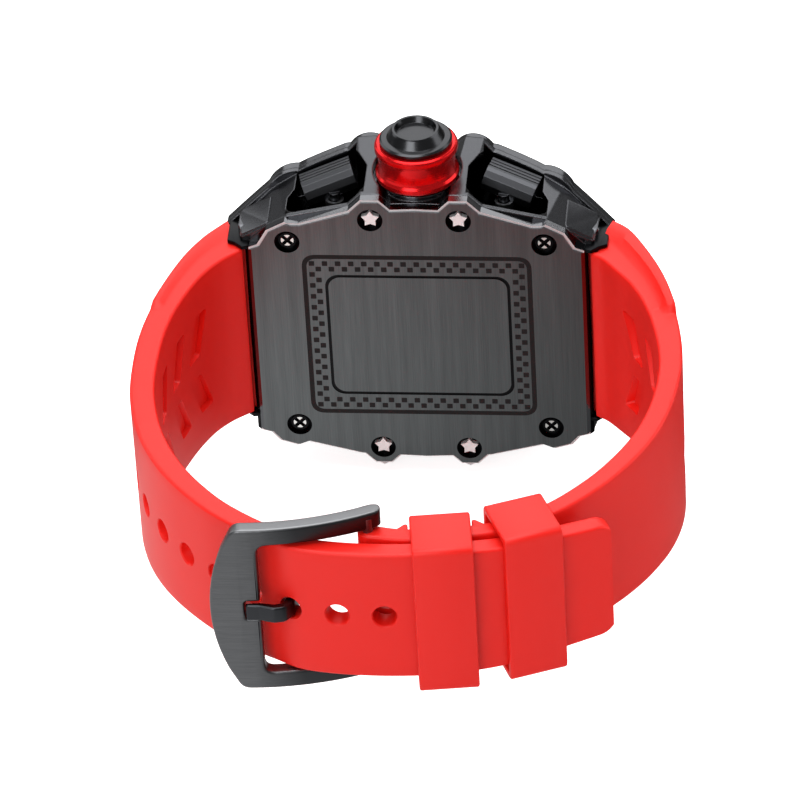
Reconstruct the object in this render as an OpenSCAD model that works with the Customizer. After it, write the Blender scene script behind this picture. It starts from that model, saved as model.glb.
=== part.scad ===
// Barrel-shaped quartz chronograph on a buckled rubber strap.
// Frame: +X towards 12 o'clock, +Y towards the dial, +Z towards the crown at 3 o'clock.
// The origin is the centre of the case back's flat outer face.

/* [Case] */
// Thickness of the screwed case back
back_t = 1.6; // [1.2:0.1:2.2]
// Half length of the case back, centre to 12 o'clock end
back_half_len = 22.3; // [21.8:0.1:22.8]
// Half height of the case back at its ends
back_end_half = 15.4; // [15.2:0.1:15.8]
// Cut of the back's end corners at the crown side
crown_corner_cut = 2.2; // [1.8:0.1:2.4]
// Height of the case back's middle above the centre
back_mid_half = 19.5; // [19.2:0.1:19.9]
// Half length of the bezel, centre to 12 o'clock end
bezel_half_len = 25.2; // [24.8:0.1:25.8]
// Half height of the bezel at its ends
bezel_end_half = 12.8; // [12.6:0.1:13.2]
// Half height of the bezel at the middle
bezel_mid_half = 20.9; // [20.6:0.1:21.4]
// Height of the bezel's crest above the back
case_depth = 15.3; // [15.0:0.1:16.0]
// Radius of the curve that bends the bezel round the wrist
bezel_curve = 52; // [46:1:60]
// Thickness of the bezel plate
bezel_t = 1.8; // [1.5:0.1:2.2]
// Radius of the round movement chamber
chamber_r = 15.5; // [15.4:0.1:15.8]
// Thickness of the rim between the case back and the side recesses
rim_t = 0.6; // [0.5:0.1:0.8]
// Thickness of the case rail under the bezel
rail_t = 0.8; // [0.6:0.1:0.9]
// Reach of the case at 9 o'clock beside the back, which carries the resting watch
rest_half = 20.4; // [20.2:0.1:20.5]

/* [Back screws] */
// Star screw place along the case
star_x = 5.69; // [5.4:0.01:6.0]
// Star screw place across the case
star_z = 17.87; // [17.7:0.01:18.1]
// Cross screw place along the case
cross_x = 16.6; // [16.2:0.1:17.0]
// Cross screw place across the case
cross_z = 14.4; // [14.0:0.1:14.6]
// Radius of the screw wells in the back
well_r = 1.65; // [1.5:0.05:1.8]
// Depth of the screw wells in the back
well_d = 1.0; // [0.8:0.1:1.1]
// Radius of the boss round a star screw
star_boss_r = 2.9; // [2.6:0.1:3.2]

/* [Crown and pushers] */
// Height of the crown axis above the back
crown_y = 6.9; // [6.7:0.1:7.0]
// Radius of the red crown ring
crown_ring_r = 5.4; // [5.0:0.1:5.6]
// Length of the red crown ring
crown_ring_len = 5.1; // [4.6:0.1:5.4]
// Pull of the crown to its setting place
crown_pull = 1.2; // [0.8:0.1:1.3]
// Travel of a pusher
pusher_travel = 0.8; // [0.5:0.1:0.9]
// Length of a pusher's ribbed cap
pusher_len = 6.9; // [6.2:0.1:7.0]
// Place of the cap's middle along the case
pusher_mid_x = 11.9; // [11.7:0.1:12.0]

/* [Crystal and dial] */
// Half length of the crystal
glass_half_len = 19.2; // [18.8:0.1:19.4]
// Half height of the crystal
glass_half_wid = 14.8; // [14.6:0.1:15.0]
// Thickness of the crystal
glass_t = 1.5; // [1.2:0.1:1.8]
// Height of the dial's underside above the back
dial_y = 8.6; // [8.5:0.1:8.8]
// Thickness of the dial
dial_t = 0.4; // [0.3:0.05:0.5]
// Distance of the sub-dials from the centre
sub_off = 7.6; // [7.2:0.1:8.0]
// Radius of a sub-dial
sub_r = 3.8; // [3.4:0.1:4.0]

/* [Strap] */
// Half width of the strap where it leaves the case
strap_half = 12.9; // [12.6:0.1:13.0]
// Half width of the strap at the buckle
strap_buckle_half = 9.3; // [8.8:0.1:9.4]
// Width of the bevel along the strap's edges
strap_bevel = 0.6; // [0.3:0.1:0.9]
// Radius of a strap hole
hole_r = 1.45; // [1.4:0.05:1.6]
// Spacing of the strap holes
hole_pitch = 5.7; // [5.4:0.1:6.0]
// Half height of a keeper
keeper_half = 10.7; // [10.6:0.1:11.0]
// Width of a keeper along the strap
keeper_w = 7.4; // [6.5:0.1:7.6]
// Wall of a keeper
keeper_wall = 0.9; // [0.8:0.05:1.0]

/* [Buckle] */
// Half width of the buckle over its arms
buckle_half = 12.1; // [11.8:0.1:12.4]
// Width of a buckle arm
arm_w = 2.45; // [2.2:0.05:2.5]
// Thickness of the buckle frame
buckle_t = 2.05; // [1.8:0.05:2.2]
// Radius of the buckle's side curve
buckle_curve = 37; // [34:1:42]
// Radius of the buckle's spring bar
bar_r = 0.65; // [0.5:0.05:0.7]
// Width of the tang
tang_w = 2.3; // [2.0:0.1:2.4]

/* [Hidden] */
$fn = 64;
eps = 0.01;
fit = 0.05;
gap = 0.1;

black = [0.16, 0.16, 0.17];
steel = [0.75, 0.75, 0.77];
red = [0.9, 0.18, 0.15];
rubber = [0.1, 0.1, 0.1];
brass = [0.8, 0.68, 0.4];

arc_y = case_depth - bezel_curve;
seat_curve = bezel_curve - bezel_t;
bezel_star = [6.9, bezel_mid_half - 1.6];
bezel_corner = [bezel_half_len - 8.3, 15.6];
wall_top = 13;
foot_reach = 20.88;
lean = 8.4;
strap_face = 21.3;
groove_r = 16.4;
groove_w = 0.6;
star_shank_r = 0.62;
cross_shank_r = 0.55;
frame_outer = [14.8, 12.4];
frame_inner = [12.0, 9.4];
frame_corner = 1.8;
engrave_w = 0.4;
engrave_d = 0.12;
bezel_shank_r = 0.55;
star_seat = case_depth - 1.3;
corner_seat = case_depth - 3.5;
crown_tube_r = 1.9;
stem_r = 0.75;
ring_z = 20.5;
cap_r = 3.3;
seal_r = 2.65;
pusher_x = 11;
pusher_y = 7.0;
pusher_tube_r = 1.25;
tube_end = 15.3;
bar_place = [22.6, 4.4];
lug_bar_r = 0.75;
sub_places = [[-sub_off, 0], [0, sub_off], [0, -sub_off]];
hand_y = dial_y + dial_t + 0.5;
plate_y = 5.8;
plate_t = 2.2;
plate_r = 14.3;
bridge_y = 3.5;
bridge_t = 0.6;
battery_place = [-6.2, 6.6];
post_places = [[-12.2, 3.6], [-3.5, -12], [9.5, -8], [9.8, 7.8]];
post_r = 1.2;
buckle_pin = [-1.1, -54.9];
curve_mid = [-17.5, -59.35 + buckle_curve];
tang_x = -10.3;
crossbar_x = tang_x - 4;
slot_gap = 0.3;
hole_count = 9;
fixed_at = [8.0, -56.75];
fixed_lean = 8;
fixed_depth = 8.2;
free_at = [17.67, -53.43];
free_lean = 23.5;
free_depth = 8.4;
tip_r = 2.2;
back_low = [[back_half_len, 0], [back_half_len - 0.1, back_end_half], [20.4, back_end_half + 0.5],
            [19.3, back_end_half + 1.8], [17, back_end_half + 2.5], [15.6, 17.3], [8.6, 19.1],
            [0, back_mid_half]];
back_high = [[back_half_len, 0], [back_half_len - 0.15, back_end_half - crown_corner_cut],
             [20.6, back_end_half - crown_corner_cut + 0.6], [20.3, back_end_half - 1.1],
             [19.3, back_end_half + 0.6], [16.85, 17.3], [16.4, 17.1], [15.1, 17.1], [8.6, 19.1],
             [0, back_mid_half]];
bezel_outline = [[bezel_half_len, 0], [bezel_half_len, bezel_end_half + 0.2],
                 [19.4, 17.4], [15, bezel_mid_half - 1.7], [9.9, bezel_mid_half],
                 [0, bezel_mid_half + 0.2]];

// Closed outline from two lists given from the +X end to the middle, for each side of X
function whole(q, r) = let (n = len(q), m = len(r))
  [for (i = [0:n - 1]) q[i],
   for (i = [n - 2:-1:1]) [-q[i][0], q[i][1]],
   for (i = [0:m - 1]) [-r[i][0], -r[i][1]],
   for (i = [m - 2:-1:1]) [r[i][0], -r[i][1]]];

// Lays a shape drawn flat in X and -Z, with its height towards the dial
module from_back(y) translate([0, y, 0]) rotate([-90, 0, 0]) children();

// Repeats a shape at four mirrored places of a [along, across] pair
module four(place) {
  for (sx = [-1, 1], sz = [-1, 1])
    translate([sx * place[0], sz * place[1]]) children();
}

// A flat four-arc barrel outline
module barrel(half_len, half_wid, side_r = 44, end_r = 38, corner_r = 22.4) {
  intersection() {
    translate([0, side_r - half_wid]) circle(side_r, $fn = 180);
    translate([0, half_wid - side_r]) circle(side_r, $fn = 180);
    translate([end_r - half_len, 0]) circle(end_r, $fn = 180);
    translate([half_len - end_r, 0]) circle(end_r, $fn = 180);
    circle(corner_r + (half_len - glass_half_len), $fn = 180);
  }
}

// Everything nearer the wrist than the bezel's curve of the given radius
module under_curve(radius) {
  translate([0, arc_y, -40]) cylinder(r = radius, h = 80, $fn = 240);
}

// Eight-sided boss whose flats stand at the given radius
module boss(radius) rotate(22.5) circle(radius / cos(22.5), $fn = 8);

// The back's outline
module back_shape(inset = 0) {
  low_boss = star_boss_r - 0.25;
  polygon([for (p = whole(back_low, back_high)) p * (1 - inset / 20)]);
  for (sx = [-1, 1]) {
    translate([sx * star_x, -star_z]) boss(star_boss_r - inset);
    translate([sx * star_x, star_z]) boss(low_boss - inset);
  }
}

module bezel_shape(inset = 0) {
  polygon([for (p = whole(bezel_outline, bezel_outline)) p * (1 - inset / 22)]);
  four(bezel_star) circle(star_boss_r - inset);
  four(bezel_corner) circle(3.3 - inset);
}

// Mills the case's 9 o'clock side in a slant, clear of what the watch rests on
module rest_cut() translate([0, 0, -rest_half]) rotate([-lean, 0, 0]) translate([-30, -5, -10])
  cube([60, 30, 10]);

// A leaning eight-sided pillar from a boss on the back to a boss under the bezel
module pillar(low, high, radius) {
  rise = 12 - back_t;
  lean_x = atan((high[0] - low[0]) / rise);
  lean_z = atan((high[1] - low[1]) / rise);
  translate([low[0], low[1], 0])
    rotate([-lean_z, lean_x, 0])
      translate([0, 0, -3]) linear_extrude(20) boss(radius);
}

// A column at a corner of the case, from the corner of the back to the bezel
module column(outline, side) {
  inner = [[16, 15], [18.6, 14]];
  foot = concat([for (p = outline) if (p[0] > 16.5 && p[0] < 19.4) p], inner);
  head = [[20.3, 16.3], [17, 18.1], [16, 16], [19, 14.6]];
  hull() {
    from_back(back_t) linear_extrude(eps) polygon([for (p = foot) [p[0], side * p[1]]]);
    from_back(12) linear_extrude(eps) polygon([for (p = head) [p[0], side * p[1]]]);
  }
}

// A five-pointed star prism, as a screw head or its socket
module star(radius, height) {
  linear_extrude(height)
    polygon([for (i = [0:9]) let (r = i % 2 == 0 ? radius : radius * 0.6)
      [r * cos(36 * i - 90), r * sin(36 * i - 90)]]);
}

// The recess that a pusher moves in, beside the crown guard
module side_pocket() {
  corner = 1.3;
  inner_wall = [[0, -16.6], [20, -14.4]];
  low = back_t + rim_t;
  near = 6.6;
  guard = 8.3;
  far = 16.05;
  far_low = 16.85;
  intersection() {
    translate([0, 0, 10]) linear_extrude(14) {
      polygon([[near, low + corner], [near + corner, low], [far_low - corner, low],
               [far_low, low + corner], [far_low, 5.4], [far, 6.8], [far, 20], [guard, 20],
               [guard, 10.6], [near, 7.4]]);
      translate([near + corner, low + corner]) circle(corner);
      translate([far_low - corner, low + corner]) circle(corner);
    }
    from_back(0) linear_extrude(20) polygon(concat(inner_wall, [[20, -26], [0, -26]]));
    under_curve(seat_curve - rail_t);
  }
}

// The ear at the crown side that holds one end of a strap bar
module bar_ear() hull() {
  translate([20, back_t, 12]) cube([back_half_len - 20.2, eps, back_end_half - crown_corner_cut - 12]);
  translate([20, bar_place[1] - 0.9, 12]) cube([3.3, 3, 2.7]);
}

/* Case */
module case_body() {
  back_face = whole(back_low, back_high);
  front_face = whole(bezel_outline, bezel_outline);
  hull() {
    from_back(back_t) linear_extrude(eps) polygon(back_face);
    from_back(wall_top) linear_extrude(eps) polygon(front_face);
  }
  difference() {
    from_back(back_t) linear_extrude(14) bezel_shape();
    under_curve(seat_curve - rail_t);
  }
  from_back(back_t) for (sx = [0, 1], sz = [0, 1]) mirror([sx, 0, 0]) mirror([0, sz, 0])
    pillar([star_x, star_z], bezel_star, star_boss_r);
  for (sx = [0, 1]) mirror([sx, 0, 0]) {
    column(back_low, 1);
    column(back_high, -1);
    bar_ear();
  }
  translate([0, crown_y, 17]) cylinder(r = 4.9, h = ring_z - 17.3);
}

module case_middle() color(black) {
  crown_clear = 0.4;
  difference() {
    intersection() {
      case_body();
      under_curve(seat_curve);
      translate([-30, back_t, -30]) cube([60, 20, 60]);
    }
    from_back(0) cylinder(r = chamber_r, h = dial_y + eps, $fn = 120);
    from_back(dial_y) linear_extrude(10) barrel(glass_half_len - 0.5, glass_half_wid + 0.3);
    from_back(back_t - eps) ring(groove_r + groove_w / 2 + fit, groove_r - groove_w / 2 - fit, 0.5);
    for (s = [0, 1]) mirror([s, 0, 0]) {
      translate([strap_face, 0, -strap_half - gap]) cube([10, 20, 2 * (strap_half + gap)]);
      translate([bar_place[0], bar_place[1], -14.2]) cylinder(r = lug_bar_r + fit, h = 28.4);
      side_pocket();
      mirror([0, 0, 1]) side_pocket();
      translate([pusher_x, pusher_y, 8]) cylinder(r = pusher_tube_r, h = 14);
    }
    translate([0, crown_y, ring_z - 0.2]) cylinder(r = crown_ring_r + crown_clear, h = 7);
    translate([0, crown_y, 12]) cylinder(r = crown_tube_r, h = 14);
    from_back(0) {
      four([star_x, star_z]) cylinder(r = star_shank_r + fit, h = back_t + rim_t - 0.3);
      four([cross_x, cross_z]) cylinder(r = cross_shank_r + fit, h = back_t + rim_t - 0.2);
    }
    rest_cut();
    from_back(star_seat - 3.7) four(bezel_star) cylinder(r = bezel_shank_r + fit, h = 10);
    from_back(corner_seat - 3.3) four(bezel_corner) cylinder(r = bezel_shank_r + fit, h = 10);
  }
}

// Flat rounded rectangle
module soft_square(len, wid, r) {
  square([len - 2 * r, wid], center = true);
  square([len, wid - 2 * r], center = true);
  for (sx = [-1, 1], sy = [-1, 1]) translate([sx * (len / 2 - r), sy * (wid / 2 - r)]) circle(r);
}

// Flat-ended tube
module ring(outer, inner, height) {
  difference() {
    cylinder(r = outer, h = height);
    translate([0, 0, -1]) cylinder(r = inner, h = height + 2);
  }
}

// One engraved line of the frame on the back
module engraved_line(half_len, half_wid, corner) {
  linear_extrude(engrave_d + eps) difference() {
    soft_square(2 * half_len, 2 * half_wid, corner);
    soft_square(2 * (half_len - engrave_w), 2 * (half_wid - engrave_w), corner - engrave_w / 2);
  }
}

// The low point of a boss at 9 o'clock that the watch rests on when laid on its side
module resting_foot(x, y) {
  half_flat = 1.05;
  root = foot_reach - 0.6;
  hull() {
    translate([x, y, -foot_reach]) cube([eps, eps, eps]);
    translate([x - half_flat, y, -root]) cube([2 * half_flat, eps, eps]);
    translate([x - half_flat, back_t - 0.1, -root]) cube([2 * half_flat, eps, eps]);
  }
}

module case_back() color(black) {
  chamfer = 0.3;
  end_bevel = 1.0;
  difference() {
    union() {
      from_back(chamfer) linear_extrude(back_t - chamfer) back_shape();
      from_back(0) linear_extrude(chamfer) back_shape(chamfer);
      from_back(back_t - eps) ring(chamber_r - 0.3, chamber_r - 1.1, 0.5);
      for (sx = [-1, 1]) resting_foot(sx * star_x, chamfer);
    }
    from_back(-eps) {
      four([star_x, star_z]) cylinder(r = well_r, h = well_d + eps);
      four([cross_x, cross_z]) cylinder(r = well_r, h = well_d + eps);
      four([star_x, star_z]) cylinder(r = star_shank_r + 0.2, h = 3);
      four([cross_x, cross_z]) cylinder(r = cross_shank_r + 0.15, h = 3);
      engraved_line(frame_outer[0], frame_outer[1], frame_corner);
      engraved_line(frame_inner[0], frame_inner[1], frame_corner);
    }
    for (s = [0, 1]) mirror([s, 0, 0]) translate([back_half_len, 0, -30]) linear_extrude(60)
      polygon([[-end_bevel, -eps], [1, -eps], [1, 1.6 * end_bevel], [0, end_bevel * 0.8]]);
  }
}

module back_gasket() color(rubber) from_back(back_t)
  ring(groove_r + groove_w / 2, groove_r - groove_w / 2, 0.45);

module back_cross_screws() color(steel) from_back(0) four([cross_x, cross_z]) difference() {
  union() {
    translate([0, 0, 0.45]) cylinder(r = 1.15, h = well_d - 0.45);
    translate([0, 0, 0.5]) cylinder(r = cross_shank_r, h = back_t + rim_t - 0.8);
  }
  for (a = [45, 135]) rotate(a) translate([-0.7, -0.17, -1]) cube([1.4, 0.34, 1.7]);
}

module back_star_screws() color(steel) from_back(0) four([star_x, star_z]) {
  translate([0, 0, 0.3]) star(1.2, well_d - 0.3);
  translate([0, 0, 0.5]) cylinder(r = star_shank_r, h = back_t + rim_t - 0.9);
}

module bezel() color(black) difference() {
  intersection() {
    difference() {
      union() {
        intersection() {
          from_back(0) linear_extrude(20) bezel_shape();
          under_curve(bezel_curve - 0.6);
        }
        from_back(0) linear_extrude(20) bezel_shape(0.7);
      }
      under_curve(seat_curve);
    }
    under_curve(bezel_curve);
  }
  from_back(0) linear_extrude(20) barrel(glass_half_len + 0.4, glass_half_wid + 0.4);
  rest_cut();
  from_back(5) {
    four(bezel_star) cylinder(r = bezel_shank_r + 0.15, h = 12);
    four(bezel_corner) cylinder(r = bezel_shank_r + 0.15, h = 12);
  }
  from_back(star_seat) four(bezel_star) cylinder(r = 1.5, h = 3);
  from_back(corner_seat) four(bezel_corner) cylinder(r = 1.5, h = 6);
}

module bezel_screws() color(steel) {
  from_back(star_seat) four(bezel_star) {
    star(1.25, 0.6);
    translate([0, 0, -3.5]) cylinder(r = bezel_shank_r, h = 3.6);
  }
  from_back(corner_seat) four(bezel_corner) {
    star(1.25, 0.6);
    translate([0, 0, -3]) cylinder(r = bezel_shank_r, h = 3.1);
  }
}

module crystal() color([0.8, 0.85, 0.9, 0.4]) intersection() {
  from_back(0) linear_extrude(20) barrel(glass_half_len, glass_half_wid);
  difference() {
    under_curve(bezel_curve - 0.1);
    under_curve(bezel_curve - 0.1 - glass_t);
  }
}

module crystal_gasket() color(rubber) intersection() {
  from_back(0) linear_extrude(20) difference() {
    barrel(glass_half_len + 0.37, glass_half_wid + 0.37);
    barrel(glass_half_len + 0.03, glass_half_wid + 0.03);
  }
  difference() {
    under_curve(bezel_curve - 0.5);
    under_curve(seat_curve + 0.02);
  }
}

/* Dial */
module dial_ring() color(black) intersection() {
  from_back(dial_y + dial_t) linear_extrude(20) difference() {
    barrel(glass_half_len - 0.6, glass_half_wid + 0.1);
    barrel(glass_half_len - 2.0, glass_half_wid - 1.2);
  }
  under_curve(seat_curve - 0.02);
  under_curve(bezel_curve - 0.12 - glass_t);
}

module dial() color([0.12, 0.12, 0.13]) from_back(dial_y) difference() {
  linear_extrude(dial_t) barrel(glass_half_len - 0.6, glass_half_wid + 0.2);
  translate([0, 0, -1]) cylinder(r = 1.3, h = 3);
  for (p = sub_places) translate([p[0], p[1], -1]) cylinder(r = 0.4, h = 3);
}

module hour_markers() color(steel) from_back(dial_y + dial_t)
  for (i = [0:11]) if (i % 6 != 0) {
    a = i * 30;
    reach = 1 / sqrt(pow(cos(a) / (glass_half_len - 3.6), 2) + pow(sin(a) / (glass_half_wid - 2.6), 2));
    rotate(a) translate([reach - 0.7, -0.35, 0]) cube([1.8, 0.7, 0.35]);
  }

module subdial_rings() color(red) from_back(dial_y + dial_t)
  for (p = sub_places) translate([p[0], p[1], 0]) ring(sub_r, sub_r - 0.4, 0.2);

/* Movement */
module pusher_notches() {
  for (sx = [-1, 1])
    translate([sx * pusher_x, pusher_y, 8.6]) cylinder(r = pusher_tube_r + gap, h = 8);
  translate([0, crown_y, 8]) cylinder(r = 1.0, h = 9);
}

module movement_ring() color([0.85, 0.85, 0.8]) difference() {
  from_back(back_t + 0.5) ring(chamber_r - gap, plate_r + gap, dial_y - back_t - 0.5, $fn = 120);
  pusher_notches();
  translate([0, crown_y, 8]) cylinder(r = crown_tube_r + gap, h = 9);
}

module main_plate() color(brass) difference() {
  union() {
    from_back(plate_y) cylinder(r = plate_r, h = plate_t, $fn = 120);
    from_back(bridge_y + bridge_t) for (p = post_places)
      translate([p[0], p[1], 0]) cylinder(r = post_r, h = plate_y - bridge_y - bridge_t + eps);
  }
  from_back(0) cylinder(r = 1.2, h = 12);
  from_back(0) for (p = sub_places) translate([p[0], p[1], 0]) cylinder(r = 0.3, h = 12);
  pusher_notches();
  translate([0, crown_y, 6]) cylinder(r = stem_r + fit, h = 12);
  translate([-1.9, plate_y - 1, 9.9]) cube([3.8, 4, 2.5]);
  from_back(0) for (p = post_places) translate([p[0], p[1], 0]) cylinder(r = 0.45, h = 6.4);
}

module train_bridge() color(steel) from_back(bridge_y) difference() {
  intersection() {
    cylinder(r = plate_r - 0.4, h = bridge_t, $fn = 120);
    translate([-14, -14, 0]) cube([28, 28, 2]);
  }
  translate([battery_place[0], battery_place[1], -1]) cylinder(r = 5.3, h = 3);
  translate([1.5, -14.5, -1]) cube([9, 5.2, 3]);
  for (p = post_places) translate([p[0], p[1], -1]) cylinder(r = 0.5, h = 3);
}

module battery() color(steel) from_back(3.3)
  translate([battery_place[0], battery_place[1], 0]) {
    cylinder(r = 4.75, h = 2.0);
    translate([0, 0, 2.0 - eps]) cylinder(r = 3.9, h = plate_y - 5.3 + eps);
  }

module battery_clamp() color(brass) from_back(2.9) difference() {
  union() {
    translate([battery_place[0] - 5.5, battery_place[1] - 1.5, 0]) cube([11, 2, 0.3]);
    translate([post_places[0][0] - 1, post_places[0][1] - 1.4, 0]) cube([2.3, 3.3, 0.3]);
  }
  translate([post_places[0][0], post_places[0][1], -1]) cylinder(r = 0.5, h = 3);
}

module drive_coil() color([0.7, 0.4, 0.2]) translate([1.9, 4.6, 10.8]) rotate([0, 90, 0]) {
  coil_len = 5.8;
  cylinder(r = 1.0, h = coil_len);
  for (x = [0, coil_len - 0.5]) translate([-1.15, -1.15, x]) cube([2.3, 2.3, 0.5]);
}

module circuit_board() color([0.1, 0.4, 0.25]) from_back(5.4) difference() {
  intersection() {
    cylinder(r = 13.4, h = plate_y - 5.4);
    translate([-3, -3, 0]) cube([16, 15, 2]);
  }
  translate([0, 0, -1]) cylinder(r = 1.5, h = 3);
  translate([battery_place[0], battery_place[1], -1]) cylinder(r = 5.2, h = 3);
  for (p = post_places) translate([p[0], p[1], -1]) cylinder(r = post_r + 0.2, h = 3);
}

module movement_screws() color(steel) from_back(0) for (p = post_places)
  translate([p[0], p[1], 0]) {
    translate([0, 0, bridge_y - 0.3]) cylinder(r = 0.9, h = 0.3);
    translate([0, 0, bridge_y - 0.1]) cylinder(r = 0.4, h = 2.8);
  }

/* Crown */
module crown_tube() color(steel) translate([0, crown_y, 15.6])
  ring(crown_tube_r - 0.02, stem_r + fit, 7.8);

// Spool-shaped ring with a rounded lip at each end
module crown_ring() color(red) translate([0, crown_y, ring_z]) rotate_extrude($fn = 96) {
  lip = 0.85;
  waist = 0.42;
  steps = 10;
  polygon([[cap_r + fit, 0], [crown_ring_r - 0.35, 0], [crown_ring_r - 0.1, 0.15], [crown_ring_r, 0.4],
           for (i = [0:steps]) let (t = i / steps)
             [crown_ring_r - waist * sqrt(sin(180 * t)), lip + t * (crown_ring_len - 2 * lip)],
           [crown_ring_r, crown_ring_len - 0.4], [crown_ring_r - 0.1, crown_ring_len - 0.15],
           [crown_ring_r - 0.35, crown_ring_len], [cap_r + fit, crown_ring_len]]);
}

module crown_cap() color(black) translate([0, crown_y, 0]) {
  flange_z = ring_z + crown_ring_len;
  difference() {
    rotate_extrude($fn = 96)
      polygon([[0, ring_z - 0.1], [cap_r, ring_z - 0.1], [cap_r, flange_z], [4.5, flange_z],
               [4.7, flange_z + 0.2], [4.7, flange_z + 0.55], [4.45, flange_z + 0.75],
               [3.75, flange_z + 0.8], [3.15, flange_z + 1.85], [3.0, flange_z + 2.05],
               [2.7, flange_z + 2.05], [2.35, flange_z + 1.3], [0, flange_z + 1.3]]);
    translate([0, 0, ring_z - 1]) cylinder(r = seal_r + fit, h = 1 + 3.4);
    translate([0, 0, ring_z]) cylinder(r = stem_r, h = 5);
  }
}

module crown_gasket() color(rubber) translate([0, crown_y, ring_z + 0.1])
  ring(seal_r, crown_tube_r + 0.08, 0.8);

module winding_stem() color(steel) translate([0, crown_y, 0]) difference() {
  translate([0, 0, 8.3]) cylinder(r = stem_r, h = ring_z + 5 - 8.3);
  translate([0, 0, 10.2]) ring(2, 0.4, 0.7);
}

module setting_lever() color(steel) difference() {
  translate([-1.5, 4.6, 10.3]) cube([3, 2.9, 0.5]);
  translate([-0.5, crown_y - 0.5, 9]) cube([1, 3, 3]);
}

/* Pushers */
module pusher_cap() {
  y0 = 6.8;
  y1 = 10.8;
  z0 = -1.35;
  z1 = 1.35;
  rib = (y1 - 8.4) / 4;
  translate([-pusher_len / 2, 0, 0]) rotate([90, 0, 90]) linear_extrude(pusher_len)
    polygon([[y0, z0], [y0, z0 + 0.9], [y0 + 0.35, z1 - 0.8], [y0 + 1.0, z1 - 0.2], [8.4, z1],
             for (i = [0:2]) each [[8.4 + rib * (i + 0.6), z1], [8.4 + rib * (i + 0.7), z1 - 0.25],
                                   [8.4 + rib * (i + 0.9), z1 - 0.25], [8.4 + rib * (i + 1), z1]],
             [y1 - 0.2, z1], [y1, z1 - 0.2], [y1, z0]]);
}

module pusher() {
  tilt = 17;
  bend = 13;
  translate([pusher_mid_x, 9, 18.2]) rotate([0, tilt, -bend]) translate([0, -9, 0]) pusher_cap();
  translate([pusher_x, pusher_y, 10]) cylinder(r = stem_r - fit, h = 7.6);
}

module pusher_start() color(black) pusher();

module pusher_reset() color(black) mirror([1, 0, 0]) pusher();

module pusher_tubes() color(steel) for (sx = [-1, 1])
  translate([sx * pusher_x, pusher_y, tube_end - 3.9]) ring(pusher_tube_r - 0.02, stem_r, 3.9);

module stem_clip() translate([pusher_x, pusher_y, tube_end - 4.4]) ring(1.0, stem_r - fit, 0.3);

module start_clip() color(steel) stem_clip();

module reset_clip() color(steel) mirror([1, 0, 0]) stem_clip();

module stem_spring() translate([pusher_x, pusher_y, tube_end + 0.1]) ring(1.2, 0.85, 1.2);

module start_spring() color(steel) stem_spring();

module reset_spring() color(steel) mirror([1, 0, 0]) stem_spring();

/* Hands */
// A bar hand that points to 12 o'clock, with its boss round the centre
module hand(length, width, tail, boss, bore, thick) difference() {
  union() {
    linear_extrude(thick) polygon([[-tail, -width / 2], [0, -width / 2], [length, -width / 6],
                                   [length, width / 6], [0, width / 2], [-tail, width / 2]]);
    cylinder(r = boss, h = thick);
  }
  if (bore > 0) translate([0, 0, -1]) cylinder(r = bore, h = 3);
}

module hour_hand() color(steel) from_back(hand_y) rotate(60) hand(8.2, 1.3, 1.8, 1.5, 0.95, 0.2);

module hour_wheel() color(brass) from_back(0) difference() {
  union() {
    translate([0, 0, plate_y + plate_t + 0.1]) cylinder(r = 3.2, h = 0.3);
    translate([0, 0, plate_y + plate_t + 0.1]) cylinder(r = 0.95, h = hand_y - plate_y - plate_t + 0.1);
  }
  cylinder(r = 0.75, h = 20);
}

module minute_hand() color(steel) from_back(hand_y + 0.5) rotate(-60)
  hand(12, 1.0, 2.2, 1.1, 0.7, 0.2);

module cannon_pinion() color(brass) from_back(0) difference() {
  union() {
    translate([0, 0, plate_y + 0.6]) cylinder(r = 1.1, h = 0.9);
    translate([0, 0, plate_y + 0.6]) cylinder(r = 0.7, h = hand_y + 0.7 - plate_y - 0.6);
  }
  cylinder(r = 0.4, h = 20);
}

module chrono_seconds_hand() color(red) from_back(hand_y + 1.0) {
  hand(12.6, 0.5, 4.2, 0.9, 0, 0.2);
  translate([0, 0, 4.6 - hand_y - 1.0]) cylinder(r = 0.35, h = hand_y + 1.0 - 4.6 + eps);
}

module sub_hand(place, turn) from_back(dial_y + dial_t + 0.12) translate([place[0], place[1], 0]) {
  rotate(turn) hand(2.7, 0.5, 0.9, 0.5, 0, 0.15);
  translate([0, 0, -3]) cylinder(r = 0.25, h = 3 + eps);
}

module small_seconds_hand() color(steel) sub_hand(sub_places[0], 0);

module chrono_minute_hand() color(steel) sub_hand(sub_places[2], 0);

module day_night_hand() color(steel) sub_hand(sub_places[1], 40);

/* Strap */
module strap_bars() color(steel) for (sx = [-1, 1])
  translate([sx * bar_place[0], bar_place[1], -14]) cylinder(r = lug_bar_r, h = 28);

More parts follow.
